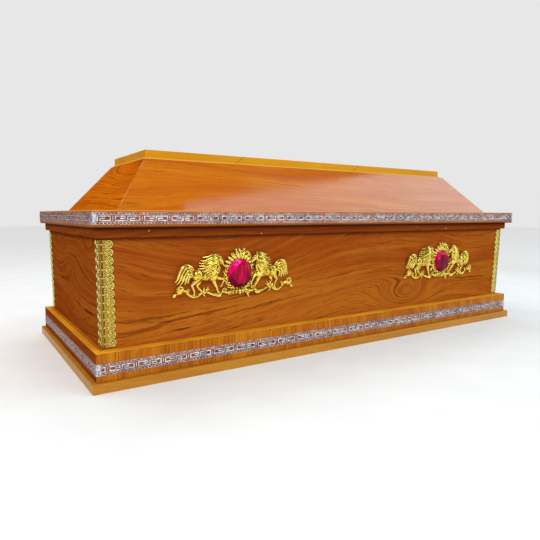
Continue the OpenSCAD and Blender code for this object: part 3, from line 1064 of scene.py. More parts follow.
# turned shapes: radius and height in millimetres, from the middle outwards
pinProfile = [(0.0, 3.2), (1.5, 2.8), (2.7, 1.9), (3.2, 0.6), (3.2, -2.2)]
beadProfile = [(0.0, 2.4), (1.1, 2.1), (1.9, 1.2), (2.2, 0.0), (2.2, -0.5)]
rosetteProfile = [
    (0.0, 4.4), (1.6, 4.0), (2.7, 2.7), (3.4, 1.2), (4.4, 0.9), (5.2, 2.2), (6.2, 3.2), (7.2, 2.3),
    (8.0, 1.0), (9.0, 0.9), (10.0, 2.7), (11.3, 3.8), (12.5, 2.9), (13.1, 1.4), (13.2, 0.0),
]


# a profile spun round z, its rim waved by lobes
def turned(name, profile, around, lobes=0, ripple=0.0):
    rings = []
    for radius, height in profile:
        if radius == 0.0:
            rings.append([(0, 0, height * mm)])
            continue
        ring = []
        for index in range(around):
            angle = 2 * math.pi * index / around
            swell = 1.0 + ripple * math.cos(lobes * angle)
            reach = radius * mm * swell
            ring.append((reach * math.cos(angle), reach * math.sin(angle), height * mm))
        rings.append(ring)
    mesh = skinned(name, rings)
    for face in mesh.polygons:
        face.use_smooth = True
    return mesh


# a bar with a rounded back, lying along x
def roundedBar(name, length, width, height, taper=0.6):
    section = [(-0.5, 0.0), (-0.42, 0.55), (0.0, 1.0), (0.42, 0.55), (0.5, 0.0)]
    rings = []
    for place, size in ((-0.5, taper), (-0.3, 1.0), (0.3, 1.0), (0.5, taper)):
        tall = height * (0.4 + 0.6 * size)
        rings.append([(place * length, y * width * size, z * tall) for y, z in section])
    return skinned(name, rings)


# a closed prism along y from an outline in x and z
def extruded(name, outline, low, high):
    return skinned(name, [[(x, y, z) for x, z in outline] for y in (low, high)])


def railOutline(start, width, height):
    return [
        (start, 0.0), (start, height * 0.75), (start + width * 0.25, height),
        (start + width * 0.75, height), (start + width, height * 0.75), (start + width, 0.0),
    ]


# what repeats up a leg: rosettes, beads, hatching, pins and the bridges between them
def trimShape():
    shape = Shape(
        "trim_rows",
        Rosette="Object",
        Bead="Object",
        Hatch="Object",
        Pin="Object",
        Bridge="Object",
        Pitch="Float",
        Count="Int",
        Beads="Int",
        Hatches="Int",
        RosetteAt="Float",
        BeadAt="Float",
        HatchAt="Float",
        PinAt="Float",
        Lift="Float",
        Coat="Material",
    )
    given = shape.given
    pitch = given["Pitch"]
    lift = given["Lift"]
    bead = pitch / trim["beadsEach"]
    hatch = pitch / trim["hatchesEach"]
    raised = lift + trim["pinRaise"]
    turn = {"Rotation": (0.0, 0.0, trim["hatchTurn"])}
    # what, how many, how far in, how far up, how far out, the step, more settings
    runs = [
        ("Rosette", given["Count"], given["RosetteAt"], pitch * 0.5, 0.0, pitch, {}),
        ("Bead", given["Beads"], given["BeadAt"], bead * 0.5, lift, bead, {}),
        ("Hatch", given["Hatches"], given["HatchAt"], hatch * 0.5, lift, hatch, turn),
        ("Pin", given["Count"], given["PinAt"], pitch * 0.5, raised, pitch, {}),
        ("Bridge", given["Count"] + 1.0, given["PinAt"], 0.0, 0.0, pitch, {}),
    ]
    rows = []
    for what, count, inwards, up, out, step, extra in runs:
        start = shape.vector(inwards, up, out)
        rows.append(shape.rows(given[what], count, start, shape.vector(0.0, step, 0.0), **extra))
    shape.finish(shape.coated(shape.union(*rows), given["Coat"]))
    return shape


# one leg of a trim, lying flat
def trimLeg():
    length = trim["length"]
    rail, channel = trim["railWidth"], trim["channel"]
    second = rail + channel
    plate = trim["plate"]
    edge = plate * trim["plateEdge"]
    flat = [
        (second, 0.0), (second, plate), (trim["hatchAt"] + trim["hatchEdge"], plate),
        (trim["rosetteAt"], edge), (trim["rosetteAt"], 0.0),
    ]
    parts = {
        "Rosette": turned("rosette", rosetteProfile, 24, lobes=12, ripple=0.018),
        "Bead": turned("bead", beadProfile, 8),
        "Pin": turned("pin", pinProfile, 8),
        "Hatch": roundedBar("hatch", *trim["hatchSize"]),
        "Bridge": roundedBar("bridge", channel + rail, trim["bridge"], plate * 0.7, taper=1.0),
    }
    hosts = {key: looseObject(key, mesh) for key, mesh in parts.items()}
    values = {
        "Pitch": length / trim["rosettes"],
        "Count": trim["rosettes"],
        "Beads": trim["rosettes"] * trim["beadsEach"],
        "Hatches": trim["rosettes"] * trim["hatchesEach"],
        "RosetteAt": trim["rosetteAt"],
        "BeadAt": trim["beadAt"],
        "HatchAt": trim["hatchAt"],
        "PinAt": rail + channel / 2,
        "Lift": plate * 0.9,
        "Coat": gilt,
    }
    relief = trimShape().make(**hosts, **values)
    for host in hosts.values():
        bpy.data.objects.remove(host)
    meshes = [relief]
    outlines = [
        [
            (-plate, 0.0), (-plate, edge), (0.0, trim["cornerHeight"]),
            (rail * 0.7, trim["cornerHeight"]), (rail, edge), (rail, 0.0),
        ],
        railOutline(second, rail, trim["railHeight"]),
        flat,
    ]
    for outline in outlines:
        part = extruded("rail", outline, 0.0, length)
        part.materials.append(gilt)
        meshes.append(part)
    return joined("trim_leg", meshes)


def makeTrims():
    leg = trimLeg()
    rise = leg.attributes.new("rise", "FLOAT", "POINT")
    for vertex in leg.vertices:
        rise.data[vertex.index].value = vertex.co.z / trim["crest"]
    low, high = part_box("side_panel_front")
    foot = low[2] + trim["foot"]
    inset = trim["lean"] * (high[2] - foot)
    corner = Vector((low[0] + inset, low[1] + inset, foot))
    stand = Matrix(((1, 0, 0, 0), (0, 0, -1, 0), (0, 1, 0, 0), (0, 0, 0, 1)))
    swap = Matrix(((0, 1, 0, 0), (1, 0, 0, 0), (0, 0, 1, 0), (0, 0, 0, 1)))
    lean = Vector((-trim["lean"], -trim["lean"], 1.0))
    tip = Vector((0, 0, 1)).rotation_difference(lean).to_matrix().to_4x4()
    place = Matrix.Translation(corner) @ tip
    for depth, flipY in (("front", 1), ("back", -1)):
        for side, flipX in (("left", 1), ("right", -1)):
            mirror = Matrix.Diagonal((flipX, flipY, 1, 1))
            legs = [placed(leg, mirror @ place @ turn @ stand) for turn in (Matrix.Identity(4), swap)]
            node = "corner_trim_" + depth + "_" + side
            makePiece("gilt_trim_" + depth + "_" + side, joined(node, legs), node)


makeTrims()
print("corner trims made")


# polished gold ornaments, each with a cut stone; voxel is in metres
ornament = {
    "voxel": 0.0011,
    "softness": 2,
    "keep": 0.34,
    "strandSteps": 5,
    "strandSides": 10,
    "thinnest": 0.3,
    "spiralSteps": 16,
}
# the wreath round the stone, in millimetres
wreath = {
    "radius": 54.5,
    "steps": 48,
    "out": 5.0,
    "thick": 5.0,
    "leaves": 26,
    "leafLength": 9.5,
    "leafExtra": 3.0,
    "leafTilt": 0.34,
    "leafOut": 7.5,
    "prongs": 16,
}
# a leaf's radius at shares of its length, and a prong's reach, height and radius
leafSizes = ((0.0, 3.0), (0.35, 3.9), (0.7, 3.6), (1.0, 2.0))
prongSizes = ((56, 5, 2.4), (54, 9.5, 2.2), (49.5, 12.0, 1.4))
# scales on the horses' bodies, in millimetres: where they start and how soon they are full
scales = {
    "size": 7.0,
    "squash": 1.2,
    "depth": 2.2,
    "level": 0.45,
    "inside": (104, 14),
    "outside": (196, 12),
    "below": (-30, 14),
    "above": (26, 10),
    "hammer": 0.18,
}
# the mask of painted shade in the hollows and near the wood: its middle, and how much the depth and the
# closeness to the wood count
hollowShading = {"reach": 4, "middle": 0.44, "gain": 1.5, "near": 0.35, "fade": 30.0, "share": 0.45}

# points are (sideways, up, out) in millimetres from the stone's middle, then the radius;
# the horse on the left is written out, the one on the right is its mirror image
horseStrands = {
    "tail": [
        [(-182, 12, 8, 6), (-191, 30, 11, 6.5), (-210, 38, 12, 7), (-227, 30, 12, 6.5),
         (-235, 10, 10, 5.5), (-240, -5, 8, 4), (-248, -16, 5, 2.4)],
        [(-184, 10, 10, 5), (-196, 26, 15, 5.5), (-211, 30, 16, 6), (-224, 17, 15, 5.5),
         (-229, 0, 13, 4.5), (-233, -12, 9, 3.4), (-242, -23, 5, 2.4)],
        [(-185, 7, 11, 5), (-197, 19, 17, 5), (-209, 20, 18, 5.5), (-219, 8, 17, 5),
         (-222, -8, 14, 4.2), (-225, -18, 10, 3), (-231, -27, 6, 2.2)],
        [(-186, 4, 12, 5), (-197, 11, 18, 4.8), (-206, 10, 19, 5), (-212, -2, 17, 4.6),
         (-213, -15, 13, 3.8), (-214, -26, 8, 2.2)],
        [(-186, 0, 11, 4.5), (-195, 3, 16, 4.4), (-202, -1, 16, 4.4), (-204, -12, 13, 3.8),
         (-203, -23, 9, 2.2)],
        [(-190, 22, 16, 2.4), (-204, 34, 20, 2.6), (-219, 28, 20, 2.6), (-228, 12, 18, 2.2),
         (-233, -4, 14, 1.4)],
        [(-192, 14, 20, 2.2), (-205, 25, 23, 2.4), (-216, 16, 22, 2.4), (-222, 2, 19, 2),
         (-226, -10, 14, 1.2)],
    ],
    "mane": [
        [(-96, 66, 15, 4), (-110, 71, 16, 4.6), (-124, 67, 14, 4.2), (-138, 64, 10, 3), (-148, 64, 7, 1.9)],
        [(-97, 61, 19, 3.6), (-113, 64, 20, 4.4), (-129, 58, 17, 4), (-144, 52, 12, 3), (-156, 54, 8, 1.9)],
        [(-99, 56, 21, 3.6), (-115, 57, 22, 4.4), (-131, 50, 19, 4), (-147, 43, 13, 3), (-161, 46, 8, 1.9)],
        [(-101, 50, 23, 3.6), (-117, 50, 24, 4.4), (-133, 42, 20, 4), (-149, 35, 14, 3),
         (-163, 36, 8, 1.9)],
        [(-103, 43, 24, 3.6), (-118, 42, 25, 4.4), (-134, 33, 21, 4), (-150, 26, 15, 3),
         (-165, 27, 9, 1.9)],
        [(-104, 36, 24, 3.6), (-119, 34, 25, 4.4), (-134, 25, 22, 4), (-148, 17, 17, 3),
         (-160, 16, 12, 1.9)],
        [(-105, 29, 24, 3.4), (-118, 25, 25, 4.2), (-131, 16, 22, 3.8), (-142, 9, 19, 2.8),
         (-153, 9, 15, 1.9)],
        [(-106, 22, 23, 3.2), (-117, 16, 24, 3.8), (-127, 8, 22, 3.2), (-135, 2, 20, 2.4),
         (-143, 2, 18, 1.7)],
        [(-99, 46, 24, 3), (-96, 31, 25, 3.8), (-103, 17, 25, 3.8), (-112, 6, 24, 2.8), (-119, 0, 22, 1.7)],
        [(-95, 41, 23, 2.8), (-90, 27, 22, 3.2), (-94, 13, 22, 3.2), (-102, 2, 22, 2.6),
         (-108, -8, 21, 1.7)],
        [(-100, 60, 23, 1.6), (-118, 60, 26, 1.8), (-136, 51, 21, 1.6), (-150, 47, 15, 0.7)],
        [(-102, 46, 27, 1.6), (-120, 46, 28, 1.8), (-137, 36, 23, 1.6), (-153, 31, 16, 0.7)],
        [(-104, 32, 27, 1.6), (-121, 29, 28, 1.8), (-136, 20, 24, 1.6), (-149, 13, 18, 0.7)],
    ],
    "neck": [
        [(-118, -2, 10, 17), (-112, 14, 13, 16), (-107, 32, 15, 13), (-100, 48, 16, 10),
         (-93, 58, 16, 7.5)],
    ],
    "head": [
        [(-96, 61, 16, 7.4), (-88, 58, 17, 7.2), (-81, 51, 17, 6), (-75.5, 44, 16, 4.8),
         (-73, 38.5, 15, 4.2)],
        [(-94, 51, 15, 6), (-86, 46, 15, 4.4), (-79, 40, 14, 3.2), (-76, 37, 14, 2.6)],
        [(-96, 65, 17, 2.6), (-94, 71, 17, 2.2), (-92, 77, 16, 0.6)],
        [(-100, 65, 14, 2.6), (-100, 72, 14, 2.0), (-99, 77, 13, 0.6)],
        [(-95, 68, 20, 2.2), (-87, 66, 22, 1.9), (-80, 60, 22, 0.7)],
        [(-94, 56, 23, 1.4), (-89, 61, 24, 1.2), (-85, 59, 24, 0.7)],
        [(-90, 52, 22.5, 1.1), (-84, 48, 21.5, 1.2), (-77, 46, 20, 0.8)],
    ],
    "legs": [
        [(-166, -2, 11, 15), (-175, -14, 11, 11), (-183, -23, 10, 7.2), (-188, -30, 9, 5.2),
         (-183, -41, 8, 3.9), (-179, -52, 8, 3.7), (-180, -58, 8, 4.4), (-182, -65, 7, 5)],
        [(-158, -8, 8, 11), (-162, -22, 7, 7.5), (-167, -32, 6, 4.8), (-161, -42, 6, 3.5),
         (-155, -52, 6, 3.3), (-152, -60, 5, 4)],
        [(-110, -8, 11, 12), (-105, -22, 11, 8), (-99, -34, 10, 5.6), (-94, -42, 9, 4.6),
         (-89, -54, 8, 3.5), (-85, -61, 8, 3.9), (-81, -67, 7, 4.8)],
        [(-101, -2, 12, 10), (-91, -9, 12, 6.6), (-79, -13, 12, 4.8), (-69, -14, 12, 4.4),
         (-68, -22, 11, 3.3), (-73, -33, 10, 3.0), (-78, -42, 9, 4.0)],
        [(-72, -14, 10, 3), (-62, -12, 7, 3), (-55, -10, 5, 3)],
    ],
    "bridle": [
        [(-74, 40, 12, 3.2), (-66, 34, 9, 3), (-57, 28, 6, 3.6)],
        [(-92, 49, 21, 1.2), (-88, 54, 23.4, 1.2), (-88, 61, 23, 1.2)],
        [(-80, 41, 19, 1.1), (-77, 46, 21, 1.1), (-76, 51, 20, 1.1)],
    ],
    "ground": [
        [(-243, -50, 9, 7), (-232, -42, 10, 11), (-221, -45, 9, 7.5), (-211, -49, 8, 4.6),
         (-203, -58, 7, 4.2), (-192, -65, 7, 4.8), (-180, -69, 7, 5.2), (-166, -67, 7, 4.6),
         (-152, -59, 7, 5), (-141, -55, 8, 6.2), (-128, -58, 7, 4.2), (-112, -65, 7, 4.2),
         (-97, -69, 7, 5.6), (-84, -70, 7, 5.6), (-74, -63, 7, 4.6), (-64, -60, 8, 4.8),
         (-50, -64, 8, 5.2), (-36, -62, 8, 5), (-22, -60, 8, 5), (0, -60, 8, 5)],
        [(-240, -50, 9, 6), (-247, -56, 7, 5), (-253, -62, 6, 6), (-257, -66, 5, 2)],
        [(-245, -38, 14, 2.2), (-236, -30, 17, 3), (-225, -34, 16, 2.6), (-221, -43, 14, 1.6)],
        [(-247, -46, 15, 2), (-238, -40, 19.5, 2.6), (-227, -45, 18, 2.4), (-224, -52, 13, 1.2)],
        [(-243, -54, 13, 2), (-233, -51, 17, 2.4), (-226, -55, 12, 1.4)],
        [(-204, -58, 8, 3), (-203, -50, 9, 4.6), (-199, -42, 9, 1)],
        [(-150, -58, 9, 3), (-154, -50, 10, 3.4), (-157, -42, 8, 0.8)],
        [(-146, -55, 11, 3.4), (-144, -46, 12, 3.6), (-141, -37, 9, 0.8)],
        [(-140, -55, 11, 3.4), (-133, -46, 12, 3.2), (-126, -35, 8, 0.8)],
        [(-136, -56, 10, 3), (-128, -48, 10, 2.8), (-120, -43, 7, 0.8)],
        [(-146, -60, 9, 3), (-141, -68, 9, 3.2), (-135, -73, 6, 1)],
        [(-100, -64, 9, 3.4), (-91, -72, 10, 4.2), (-79, -73, 9, 4), (-71, -70, 6, 1)],
        [(-30, -58, 9, 3), (-27, -66, 11, 3.8), (-29, -73, 7, 1)],
        [(-16, -57, 9, 3.4), (-14, -66, 12, 4.2), (-15, -74, 7, 1)],
    ],
    "crown": [
        [(-6, 54, 8, 6), (-10, 64, 12, 7.4), (-14, 74, 11, 6.4), (-17, 81, 8, 3.6)],
        [(-16, 52, 8, 5.6), (-24, 60, 12, 7), (-31, 67, 10, 6.2), (-37, 72, 7, 3.4)],
        [(-27, 46, 8, 5.2), (-36, 52, 11, 6.4), (-43, 57, 9, 5.4), (-49, 61, 6, 3)],
        [(-38, 38, 8, 5), (-47, 42, 10, 6), (-54, 45, 8, 4.8), (-59, 48, 5, 2.6)],
        [(-46, 27, 7, 4.8), (-55, 30, 9, 5.2), (-61, 32, 7, 4), (-65, 34, 5, 2.2)],
        [(-8, 58, 15, 1.7), (-12, 68, 18.5, 1.9), (-15, 76, 14, 1.2)],
        [(-18, 54, 14, 1.6), (-26, 62, 18, 1.8), (-33, 68, 12, 1.2)],
        [(-29, 48, 14, 1.5), (-38, 54, 16, 1.7), (-45, 58, 11, 1.1)],
        [(-40, 39, 13, 1.4), (-48, 43, 14.5, 1.6), (-55, 46, 10, 1)],
    ],
}
# strands that stand once, with no mirror image
singleStrands = [
    [(0, 56, 8, 6), (0, 68, 12, 6.5), (0, 79, 12, 6), (1, 88, 8, 3)],
    [(2, 78, 15, 3.4), (9, 84, 14, 3.6), (12, 91, 9, 2)],
    [(-2, 78, 15, 3.4), (-7, 86, 14, 3.6), (-6, 93, 9, 2)],
    [(10, 70, 9, 4), (25, 78, 10, 5), (38, 67, 10, 5.2), (45, 51, 8, 3.6), (47, 41, 5, 0.9)],
    [(0, -58, 10, 4), (0, -68, 13, 5), (0, -77, 8, 1.2)],
    [(30, -66, 8, 3.6), (36, -77, 8, 4), (44, -91, 5, 1)],
]
# spiral scrolls: middle, outer radius, turns (negative turns run the other way), strand radius
scrolls = [
    ((-63, -56, 9), 9.0, 1.4, 2.5),
    ((-42, -64, 10), 8.0, -1.3, 2.3),
    ((-30, 70, 11), 8.5, -1.4, 2.4),
    ((-203, -46, 9), 6.0, 1.2, 1.8),
]
# rounded masses: middle, half sizes
masses = {
    "body": [
        ((-140, 1, 10), (42, 17.5, 12.5)),
        ((-168, 3, 11), (20, 21, 14.5)),
        ((-110, -1, 12), (18, 20, 15)),
        ((-86, 56, 19), (5, 5, 4.5)),
    ],
    "ground": [
        ((-234, -42, 11), (13, 13.5, 10)),
        ((-141, -55, 10), (8, 7, 6.5)),
        ((-86, -70, 8), (13, 6, 6.5)),
        ((-17, 86, 10), (5, 5, 4)),
    ],
}
# the right-hand horse stands nearer the stone: each group's scale and its slide inwards
rightHand = {
    "tail": (1.0, 32.0),
    "mane": (1.0, 28.0),
    "neck": (1.0, 28.0),
    "head": (1.0, 27.0),
    "legs": (1.0, 27.0),
    "bridle": (1.0, 25.0),
    "body": (1.0, 28.0),
    "ground": (0.925, 0.0),
    "crown": (1.0, 0.0),
}
keepOut = 59.0
nailHeads = [(-174, -8, 22.5), (-140, -3, 21.5)]
nailProfile = [(0.0, 1.0), (1.0, 0.8), (1.7, 0.2), (1.7, -0.8)]


# a smooth run of points through the given ones
def smoothRun(points, steps):
    run = []
    last = len(points) - 1
    for index in range(last):
        p0, p1, p2, p3 = (Vector(points[max(0, min(last, index + k))]) for k in (-1, 0, 1, 2))
        for step in range(steps):
            t = step / steps
            run.append(0.5 * (
                2 * p1 + (p2 - p0) * t + (2 * p0 - 5 * p1 + 4 * p2 - p3) * t * t
                + (3 * p1 - p0 - 3 * p2 + p3) * t * t * t
            ))
    run.append(Vector(points[last]))
    return run


# the right-hand copy of a run of points, kept clear of the stone
def mirrored(points, group):
    scale, slide = rightHand[group]
    moved = []
    for x, y, *rest in points:
        x = x * scale + slide
        reach = math.hypot(x, y)
        push = keepOut / reach if slide and reach < keepOut else 1.0
        moved.append((-x * push, y * push, *rest))
    return moved


# a curl that winds inwards, rises and thins
def spiral(middle, radius, turns, thick):
    points = []
    count = ornament["spiralSteps"]
    for index in range(count + 1):
        share = index / count
        angle = 2 * math.pi * turns * share
        reach = radius * (1 - 0.82 * share)
        size = thick * (1 - 0.45 * share)
        across, up = reach * math.cos(angle), reach * math.sin(angle)
        points.append((middle[0] + across, middle[1] + up, middle[2] + 2 * share, size))
    return points


def polar(reach, angle, out, size):
    return reach * math.cos(angle), reach * math.sin(angle), out, size


# the hoop round the stone, its leaves and the prongs that hold the stone
def wreathStrands():
    radius, steps = wreath["radius"], wreath["steps"]
    turns = [2 * math.pi * index / steps for index in range(steps)]
    hoop = [polar(radius, turn, wreath["out"], wreath["thick"]) for turn in turns]
    strands = [hoop + hoop[:1]]
    for index in range(wreath["leaves"]):
        angle = 2 * math.pi * (index + 0.5) / wreath["leaves"]
        tilt = wreath["leafTilt"] if math.cos(angle) < 0 else -wreath["leafTilt"]
        length = wreath["leafLength"] + wreath["leafExtra"] * (index % 2)
        strands.append([
            polar(radius - 1 + length * share, angle - tilt * share, wreath["leafOut"] - 3.0 * share, size)
            for share, size in leafSizes
        ])
    for index in range(wreath["prongs"]):
        angle = 2 * math.pi * (index + 0.5) / wreath["prongs"]
        strands.append([polar(reach, angle, out, size) for reach, out, size in prongSizes])
    return strands


# round tubes along paths, as thick as each point says
def strandShape():
    shape = Shape("strand_tubes", Path="Object", Sides="Int", Coat="Material")
    given = shape.given
    path = shape.node("GeometryNodeObjectInfo", {}, {"Object": given["Path"]}, "Geometry")
    curve = shape.node("GeometryNodeMeshToCurve", {}, {"Mesh": path})
    around = {"Resolution": given["Sides"], "Radius": 1.0}
    circle = shape.node("GeometryNodeCurvePrimitiveCircle", {}, around)
    thick = shape.node("GeometryNodeInputNamedAttribute", {"data_type": "FLOAT"}, {"Name": "thick"})
    sockets = {"Curve": curve, "Profile Curve": circle, "Scale": thick, "Fill Caps": True}
    tubes = shape.node("GeometryNodeCurveToMesh", {}, sockets)
    shape.finish(shape.coated(tubes, given["Coat"]))
    return shape


def strandMesh(strands):
    points, edges, sizes = [], [], []
    for strand in strands:
        run = smoothRun(strand, ornament["strandSteps"])
        first = len(points)
        for point in run:
            points.append(Vector(point[:3]) * mm)
            sizes.append(max(point[3], ornament["thinnest"]) * mm)
        edges += [(index, index + 1) for index in range(first, len(points) - 1)]
    mesh = bpy.data.meshes.new("paths")
    mesh.from_pydata(points, edges, [])
    thick = mesh.attributes.new("thick", "FLOAT", "POINT")
    thick.data.foreach_set("value", sizes)
    host = looseObject("paths", mesh)
    tubes = strandShape().make(Path=host, Sides=ornament["strandSides"], Coat=gold)
    bpy.data.objects.remove(host)
    return tubes


def lump(middle, halves):
    shape = bmesh.new()
    bmesh.ops.create_icosphere(shape, subdivisions=3, radius=1.0)
    sizes = Matrix.Diagonal((*(half * mm for half in halves), 1))
    bmesh.ops.transform(shape, matrix=Matrix.Translation(Vector(middle) * mm) @ sizes, verts=shape.verts)
    return meshFrom("lump", shape)


def clamped(value):
    return min(max(value, 0), 1)


# 1 between two limits, each a place in millimetres and the length of its fade, and 0 outside
def between(place, low, high):
    return clamped((place - low[0]) / low[1]) * clamped((high[0] - place) / high[1])


# fine overlapping scales on the horses' bodies and a hammered look elsewhere
def textured(mesh):
    normals = [vertex.normal.copy() for vertex in mesh.vertices]
    places = []
    for vertex, normal in zip(mesh.vertices, normals):
        spot = vertex.co / mm
        side = abs(spot.x) + (rightHand["body"][1] if spot.x > 0 else 0.0)
        body = between(side, scales["inside"], scales["outside"])
        body *= between(spot.y, scales["below"], scales["above"])
        lift = noise.noise(spot / scales["size"]) * scales["hammer"]
        if body > 0:
            squashed = Vector((spot.x, spot.y * scales["squash"], spot.z))
            cell = noise.voronoi(squashed / scales["size"])[0][0]
            lift += (scales["level"] - cell) * scales["depth"] * body
        place = vertex.co + normal * (lift * mm)
        places += (place.x, place.y, max(place.z, 0.0))
    mesh.vertices.foreach_set("co", places)
    mesh.update()


# thinning can leave loose flaps, two faces back to back on the same corners
def dropFlaps(mesh):
    shape = bmesh.new()
    shape.from_mesh(mesh)
    groups = {}
    for face in shape.faces:
        groups.setdefault(frozenset(face.verts), []).append(face)
    flaps = [face for group in groups.values() if len(group) > 1 for face in group]
    bmesh.ops.delete(shape, geom=flaps, context="FACES")
    openEdges = sum(edge.is_boundary for edge in shape.edges)
    print("flaps dropped:", len(flaps), "open edges:", openEdges)
    shape.to_mesh(mesh)
    shape.free()


# many overlapping shapes fused into one skin, textured, then thinned
def solidCast(meshes):
    host = looseObject("cast", joined("cast", meshes))
    blend = host.modifiers.new("blend", "REMESH")
    blend.mode = "VOXEL"
    blend.voxel_size = ornament["voxel"]
    blend.use_smooth_shade = True
    soften = host.modifiers.new("soften", "SMOOTH")
    soften.factor = 0.5
    soften.iterations = ornament["softness"]
    cast = evaluated(host)
    host.modifiers.clear()
    textured(cast)
    host.data = cast
    thin = host.modifiers.new("thin", "DECIMATE")
    thin.ratio = ornament["keep"]
    cast = evaluated(host)
    bpy.data.objects.remove(host)
    dropFlaps(cast)
    cast.materials.clear()
    cast.materials.append(gold)
    for face in cast.polygons:
        face.use_smooth = True
        face.material_index = 0
    markHollowShade(cast)
    return cast


# painted shade and highlight: how deep each point lies, against its surroundings and towards the wood
def markHollowShade(mesh):
    count = len(mesh.vertices)
    place = numpy.empty(count * 3)
    normal = numpy.empty(count * 3)
    ends = numpy.empty(len(mesh.edges) * 2, dtype=numpy.int32)
    mesh.vertices.foreach_get("co", place)
    mesh.vertices.foreach_get("normal", normal)
    mesh.edges.foreach_get("vertices", ends)
    place = place.reshape(-1, 3)
    normal = normal.reshape(-1, 3)
    one, two = ends[0::2], ends[1::2]
    degree = numpy.maximum(numpy.bincount(ends, minlength=count), 1)
    soft = place.copy()
    for step in range(hollowShading["reach"]):
        total = numpy.stack([
            numpy.bincount(one, soft[two, axis], count) + numpy.bincount(two, soft[one, axis], count)
            for axis in range(3)
        ], axis=1)
        soft = total / degree[:, None]
    depth = ((soft - place) * normal).sum(axis=1) / mm
    low = hollowShading["near"] - place[:, 2] / mm / hollowShading["fade"]
    value = hollowShading["middle"] + depth * hollowShading["gain"] + low * hollowShading["share"]
    value = numpy.clip(value, 0.0, 1.0)
    mark = mesh.attributes.new("hollow", "FLOAT", "POINT")
    mark.data.foreach_set("value", value)
    print("hollows: mean %.2f, spread %.2f" % (value.mean(), value.std()))


def nailHead(spot):
    head = turned("nail", nailProfile, 10)
    head.transform(Matrix.Translation(Vector(spot) * mm))
    head.materials.append(nailMetal)
    return head


def ornamentCast():
    strands = singleStrands + wreathStrands()
    for group, runs in horseStrands.items():
        strands += runs + [mirrored(run, group) for run in runs]
    for scroll in scrolls:
        curl = spiral(*scroll)
        strands += [curl, mirrored(curl, "ground")]
    meshes = [strandMesh(strands)]
    for group, parts in masses.items():
        for middle, halves in parts:
            meshes.append(lump(middle, halves))
            meshes.append(lump(mirrored([middle], group)[0], halves))
    cast = solidCast(meshes)
    heads = [nailHead(spot) for spot in nailHeads + mirrored(nailHeads, "body")]
    return joined("ornament", [cast, *heads])


# a cut stone: heights in millimetres above its seat, radii as shares of the girdle
gem = {
    "facets": 8,
    "tableRadius": 0.70,
    "breakRadius": 0.86,
    "seat": 7.0,
    "girdleLow": 0.0,
    "girdleHigh": 3.4,
    "breakHeight": 12.2,
    "tableHeight": 18.0,
}
# a facet's tone, with painted light and shade: the table's, the others', and how much its slope and its
# chance change it
facetLightAndShade = {"table": 0.34, "side": 0.52, "up": 0.495, "sideways": -0.275, "chance": 0.24}


def stoneMesh(radius, seed):
    count = gem["facets"]
    half = math.pi / count
    shape = bmesh.new()

    def ring(share, height, number, turn):
        return [
            shape.verts.new((
                radius * share * math.cos(2 * math.pi * index / number + turn),
                radius * share * math.sin(2 * math.pi * index / number + turn),
                (gem["seat"] + height) * mm,
            ))
            for index in range(number)
        ]

    table = ring(gem["tableRadius"], gem["tableHeight"], count, half)
    middle = ring(gem["breakRadius"], gem["breakHeight"], count, 2 * half)
    girdle = ring(1.0, gem["girdleHigh"], 2 * count, half)
    foot = ring(1.0, gem["girdleLow"], 2 * count, half)
    shape.faces.new(table)
    for index in range(count):
        turn = (index + 1) % count
        before = (index - 1) % count
        shape.faces.new((table[index], middle[index], table[turn]))
        shape.faces.new((table[index], middle[before], girdle[2 * index], middle[index]))
        shape.faces.new((middle[index], girdle[2 * index], girdle[2 * index + 1]))
        shape.faces.new((middle[index], girdle[2 * index + 1], girdle[(2 * index + 2) % (2 * count)]))
    for index in range(2 * count):
        turn = (index + 1) % (2 * count)
        shape.faces.new((girdle[index], foot[index], foot[turn], girdle[turn]))
    shape.faces.new(list(reversed(foot)))
    bmesh.ops.recalc_face_normals(shape, faces=shape.faces)
    mesh = meshFrom("stone", shape)
    facet = mesh.attributes.new("facet", "FLOAT", "FACE")
    for face in mesh.polygons:
        chance = noise.cell(Vector((face.index * 3.7 + seed, 1.3, 0.5)))
        # painted highlight and shade: facets facing up and to the left are painted lighter
        facing = face.normal.y * facetLightAndShade["up"] + face.normal.x * facetLightAndShade["sideways"]
        tone = facetLightAndShade["table"] if face.normal.z > 0.98 else facetLightAndShade["side"] + facing
        facet.data[face.index].value = clamped(tone + (chance - 0.5) * facetLightAndShade["chance"])
    mesh.materials.append(stone)
    return mesh


# from an ornament's own plane (sideways, up, out) to its place on the leaning panel
def panelPlace(node):
    low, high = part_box(node)
    bottom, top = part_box("side_panel_front")
    sideways = (low[0] + high[0]) / 2
    height = (low[2] + high[2]) / 2
    back = low[1] > 0
    face = bottom[1] + trim["lean"] * (top[2] - height)
    tip = Matrix.Rotation(math.radians(90) + math.atan(trim["lean"]), 4, "X")
    turn = Matrix.Rotation(math.radians(180 if back else 0), 4, "Z")
    return turn @ Matrix.Translation((-sideways if back else sideways, face, height)) @ tip


def makeOrnaments():
    cast = ornamentCast()
    print("ornament cast:", len(cast.polygons), "faces")
    for depth in ("front", "back"):
        for side in ("left", "right"):
            stoneNode = "gem_" + depth + "_" + side
            low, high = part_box(stoneNode)
            radius = (high[0] - low[0]) / 2
            place = panelPlace(stoneNode)
            node = "ornament_" + depth + "_" + side
            makePiece("horse_ornament_" + depth + "_" + side, placed(cast, place), node)
            mesh = placed(stoneMesh(radius, 0.0 if side == "left" else 5.0), place)
            makePiece("cut_stone_" + depth + "_" + side, mesh, stoneNode)


makeOrnaments()
print("ornaments made")


# sky: how strong it is for the camera, for matt surfaces and in reflections
studio = {
    "floorSize": 40.0,
    "floorColour": (0.86, 0.86, 0.85),
    "floorShade": (0.83, 0.83, 0.83),
    "sky": (1.0, 1.0, 1.0),
    "skySeen": 0.80,
    "skyLight": 0.86,
    "skyMirrored": 0.06,
}


